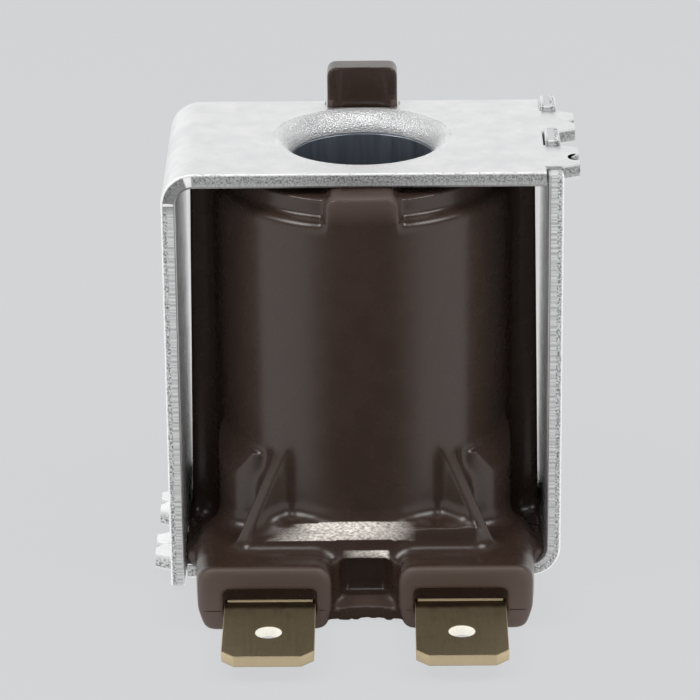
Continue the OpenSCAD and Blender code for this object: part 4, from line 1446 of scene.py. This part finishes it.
@dataclass
class BladeTerminals:
    """The two flat blades, each with a chamfered tip, a detent hole and a root inside the moulding.

    Lengths are in millimetres.
    """

    x: float = 6.6
    width: float = 6.3
    low: float = -14.9
    high: float = -14.1
    tip: float = -22.8
    root: float = -9.75
    chamfer: float = 0.85
    hole_y: float = -19.04
    hole_r: float = 0.9
    edge_r: float = 0.07
    bead: tuple[float, float, float] = (2.95, -14.1, 0.13)

    def blade(self) -> Solid:
        """Models the blade about x = 0: chamfered tip, broken edges, a detent hole and the bead pressed up at its root.

        Returns:
            The blade.
        """
        piece = Bench.block("blade_left", (-self.width / 2, self.tip, self.low), (self.width / 2, self.root, self.high))
        Bench.round_edges(piece, self.chamfer, 1,
                          lambda middle, along: abs(along.z) > STRAIGHT and middle.y < self.tip + 0.1)
        hole = Bench.revolve("hole", [(0.0, self.low - 1), (self.hole_r, self.low - 1), (self.hole_r, self.high + 1),
                                      (0.0, self.high + 1)], 64)
        Bench.combine(piece, Bench.settle(hole, (0.0, self.hole_y, 0.0)), Merge.CUT)
        Bench.broken(piece, self.edge_r)
        half, back, r = self.bead
        turns = [math.tau * (k + 0.5) / 10 for k in range(10)]
        bead = Bench.prism("bead", [(-half, back + r * math.cos(a), self.high + r * math.sin(a)) for a in turns],
                           (2 * half, 0.0, 0.0))
        return Bench.combine(piece, bead, Merge.FUSE)

    def mark_cuts(self, piece: Solid) -> None:
        """Marks the faces that the blanking tool cut, and among them the wall of the hole; the bead at the root is
        marked as a cut face too, which paints a highlight line along the root.

        Args:
            piece: a blade about x = 0, in millimetres.
        """
        cuts, walls = [], []
        for face in piece.data.polygons:
            x, y, z = face.center
            # The bead takes the bright cut-edge colour, a painted highlight line along the root.
            bead = y > self.bead[1] - 0.2 and z > self.high + 0.01
            cuts.append(1.0 if bead else min(1.0, max(0.0, 1.15 - abs(face.normal.z) * 1.3)))
            walls.append(float(math.hypot(x, y - self.hole_y) < self.hole_r + 0.02 and abs(face.normal.z) < 0.6))
        Bench.mark(piece, Pick.FACE, cut_edge=cuts, hole_wall=walls)

    def build(self, finish: Material) -> None:
        """Models one blade, copies it and puts both in place.

        Args:
            finish: the tarnished brass.
        """
        left = self.blade()
        right = Bench.copied(left, "blade_right")
        for piece, side, node in ((left, -1, "terminal_left"), (right, 1, "terminal_right")):
            self.mark_cuts(piece)
            Bench.settle(piece, (side * self.x, 0.0, 0.0))
            Bench.deliver(piece, finish, "terminal_brass", [node])


@dataclass
class RolledSleeves:
    """The two steel sleeves in the bore, each rolled from a strip and welded along a fine seam.

    Lengths are in millimetres, and the seam's angle in degrees from +X.
    """

    bore_r: float = 5.0
    outer_r: float = 6.0
    ends: tuple[float, float] = (3.6, 13.6)
    seam_at: float = 65.0
    seam_r: float = 0.05
    edge_r: float = 0.06

    def build(self, finish: Material) -> None:
        """Rolls both sleeves and puts them in place.

        Args:
            finish: the rolled steel.
        """
        near, far = self.ends
        c, s = math.cos(math.radians(self.seam_at)), math.sin(math.radians(self.seam_at))
        turns = [math.tau * k / 8 for k in range(8)]
        for name, low, high in (("upper", near, far), ("lower", -far, -near)):
            piece = Bench.revolve(name + "_sleeve", [(self.bore_r, low), (self.outer_r, low), (self.outer_r, high),
                                                     (self.bore_r, high)], 120)
            Bench.broken(piece, self.edge_r)
            bead = Bench.prism("bead", [(self.bore_r * c + self.seam_r * math.cos(a), self.bore_r * s
                                         + self.seam_r * math.sin(a), low + 0.1) for a in turns],
                               (0.0, 0.0, high - low - 0.2))
            Bench.combine(piece, bead, Merge.FUSE)
            Bench.deliver(piece, finish, "sleeve_steel", [name + "_flux_sleeve"])


@dataclass
class CoilInside:
    """The pieces that keep their CAD shapes: bobbin, winding, tape, leads, their tubes and the solder."""

    bobbin_plastic: MottledSurface = MottledSurface("glass_filled_nylon", "#3a2a24", "#493730", 0.4, 0.55)
    copper_wire: MottledSurface = MottledSurface("enamelled_copper", "#8c4a24", "#b86a35", 0.22, 0.3, 1.0,
                                                 (0.1, 0.1, 1.0), 0.06)
    film_tape: MottledSurface = MottledSurface("polyester_film_tape", "#b99a3a", "#c9ad4f", 1.2, 0.35)
    tube_plastic: MottledSurface = MottledSurface("glass_braid_tube", "#cfc49a", "#e2dab8", 0.2, 0.6)
    solder: MottledSurface = MottledSurface("tin_solder", "#b5b6b8", "#d2d3d4", 0.3, 0.25, 1.0)

    def dress(self) -> None:
        """Gives each carried-over node its finish."""
        wear = {
            self.bobbin_plastic: ("bobbin",),
            self.copper_wire: ("winding", "start_lead", "finish_lead"),
            self.film_tape: ("winding_tape",),
            self.tube_plastic: ("start_lead_sleeve", "finish_lead_sleeve"),
            self.solder: ("solder_joints",),
        }
        for finish, nodes in wear.items():
            material = finish.material()
            for node in nodes:
                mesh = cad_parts[node].data
                mesh.materials.clear()
                mesh.materials.append(material)
                LOG.info("%s: %s", node, material.name)


@dataclass
class Studio:
    """Plain soft light, a pale floor and the camera at the photograph's angle; lengths in millimetres."""

    floor_z: float = -16.1
    floor_colour: str = "#d2d3d5"
    camera_at: Point = (1.3156, -270.71, 106.585)
    pitch: float = 21.67
    yaw: float = -0.49
    roll: float = -0.59
    lens: float = 209.93
    sensor: float = 36.0
    paper_grey: float = 0.45
    floor_glow: float = 1.03
    glow_share: float = 0.9
    table_white: float = 0.9
    tent_glow: float = 0.85
    backdrop_glow: float = 1.12
    card_top: float = 230.0
    floor_fade: tuple[float, float] = (0.45, 1.05)
    fade_from_y: float = -5.0
    lamps: tuple[tuple[str, Point, tuple[float, float], float], ...] = (
        ("top_soft", (-15.0, -85.0, 215.0), (75.0, 45.0), 0.05),
        ("left_soft", (-130.0, -50.0, 190.0), (90.0, 70.0), 0.16),
        ("right_soft", (130.0, -50.0, 190.0), (90.0, 70.0), 0.14))

    def floor(self) -> None:
        """Lays the floor; the camera sees its pale grey, and metal sees it as a white table."""
        bpy.ops.object.select_all(action="DESELECT")
        bpy.ops.mesh.primitive_plane_add(size=4.0, location=(0.0, 0.0, self.floor_z * MM))
        plane = bpy.context.active_object
        plane.name = "floor"
        made = bpy.data.materials.new("pale_floor")
        made.use_nodes = True
        tree = made.node_tree
        tree.nodes.clear()
        path = add(tree, "LightPath")
        paper = add(tree, "BsdfDiffuse", Color=(*[self.paper_grey] * 3, 1.0))
        glow = add(tree, "Emission", Color=linear(self.floor_colour), Strength=self.floor_glow)
        seen = add(tree, "MixShader", Fac=self.glow_share, in_1=paper, in_2=glow)
        white = add(tree, "Emission", Color=(*[self.table_white] * 3, 1.0), Strength=1.0)
        mixed = add(tree, "MixShader", Fac=path.outputs["Is Camera Ray"], in_1=white, in_2=seen)
        add(tree, "OutputMaterial", Surface=mixed)
        plane.data.materials.append(made)

    def lamp(self, name: str, at: Point, size: tuple[float, float], watts: float) -> None:
        """Adds a soft rectangular lamp that faces the object.

        Args:
            name: name of the lamp.
            at: its place.
            size: its width and height.
            watts: its power.
        """
        bpy.ops.object.select_all(action="DESELECT")
        bpy.ops.object.light_add(type="AREA", location=[c * MM for c in at])
        lamp = bpy.context.active_object
        lamp.name = name
        lamp.data.shape = "RECTANGLE"
        lamp.data.size, lamp.data.size_y = size[0] * MM, size[1] * MM
        lamp.data.energy = watts
        lamp.rotation_euler = (-Vector(at)).to_track_quat("-Z", "Y").to_euler()

    def card(self, name: str, first: Point, second: Point, glow: float = 0.0,
             fades: tuple[float, float] | None = None) -> None:
        """Sets up a thin card that only reflections see.

        Args:
            name: name of the card.
            first: half the length of one edge, which runs along X, and its Y and Z.
            second: the same for the opposite edge.
            glow: 0 for a black card, or the brightness of a white one.
            fades: for a card on the floor, the slopes beside the middle line between which it thins out.
        """
        corners = [(-first[0], *first[1:]), first, second, (-second[0], *second[1:])]
        card = Bench.outline(name, [tuple(c * MM for c in corner) for corner in corners])
        made = bpy.data.materials.new(name)
        made.use_nodes = True
        tree = made.node_tree
        shader = tree.nodes["Principled BSDF"]
        link(tree, shader, Base_Color=(0.01, 0.01, 0.01, 1.0), Roughness=0.9, Emission_Color=(1.0, 1.0, 1.0, 1.0),
             Emission_Strength=glow)
        if fades:
            place = add(tree, "TexCoord")
            apart = add(tree, "SeparateXYZ", Vector=place.outputs["Object"])
            aside = add(tree, "Math", {"operation": "ABSOLUTE"}, in_0=apart.outputs["X"])
            ahead = add(tree, "Math", {"operation": "MULTIPLY_ADD"}, in_0=apart.outputs["Y"], in_1=-1.0,
                        in_2=self.fade_from_y * MM)
            slope = add(tree, "Math", {"operation": "DIVIDE"}, in_0=aside, in_1=ahead)
            cover = add(tree, "MapRange", Value=slope, From_Min=fades[0], From_Max=fades[1], To_Min=1.0, To_Max=0.0)
            link(tree, shader, Alpha=cover)
        card.data.materials.append(made)
        card.visible_camera = False
        card.visible_diffuse = False
        card.visible_shadow = False

    def camera(self) -> None:
        """Sets the camera where the photograph was taken from."""
        pitch, yaw, roll = (math.radians(a) for a in (self.pitch, self.yaw, self.roll))
        forward = Vector((math.sin(yaw) * math.cos(pitch), math.cos(yaw) * math.cos(pitch), -math.sin(pitch)))
        right = Vector((math.cos(yaw), -math.sin(yaw), 0.0))
        up = right.cross(forward)
        across = math.cos(roll) * right + math.sin(roll) * up
        upward = -math.sin(roll) * right + math.cos(roll) * up
        bpy.ops.object.select_all(action="DESELECT")
        bpy.ops.object.camera_add()
        camera = bpy.context.active_object
        camera.name = "photo_camera"
        camera.data.lens = self.lens
        camera.data.sensor_width = self.sensor
        camera.data.clip_start, camera.data.clip_end = 0.01, 10.0
        place = Matrix((across, upward, -forward)).transposed().to_4x4()
        place.translation = Vector(self.camera_at) * MM
        camera.matrix_world = place
        bpy.context.scene.camera = camera

    def world(self) -> None:
        """Sets an even white surround like a light tent."""
        world = bpy.data.worlds.new("tent")
        world.use_nodes = True
        link(world.node_tree, world.node_tree.nodes["Background"], Color=(1.0, 1.0, 1.0, 1.0), Strength=self.tent_glow)
        bpy.context.scene.world = world
        bpy.context.scene.view_settings.view_transform = "Standard"

    def build(self) -> None:
        """Sets up the camera, the light and the floor."""
        self.camera()
        self.world()
        self.floor()
        for name, at, size, watts in self.lamps:
            self.lamp(name, at, size, watts)
        low, high = self.floor_z + 0.1, self.card_top
        self.card("floor_card", (5.0, -9.0, low), (190.0, -170.0, low), fades=self.floor_fade)
        self.card("camera_card", (130.0, -300.0, low), (130.0, -300.0, high))
        self.card("ceiling_card", (490.0, -300.0, high), (490.0, 220.0, high))
        self.card("backdrop", (600.0, 330.0, low), (600.0, 330.0, high), self.backdrop_glow)


def main() -> None:
    """Builds the sub-assemblies and the studio."""
    logging.basicConfig(level=logging.INFO, format="%(name)s %(message)s")
    Studio().build()
    BracketPair().build(ZincPlatedSteel().material())
    MouldedBody().build(BrownMouldingResin().material())
    BladeTerminals().build(TarnishedBrass().material())
    RolledSleeves().build(MottledSurface("rolled_sleeve_steel", "#aab2bc", "#bcc4cd", 0.5, 0.4, 1.0,
                                         (1.0, 1.0, 0.12)).material())
    CoilInside().dress()


if __name__ == "__main__":
    main()
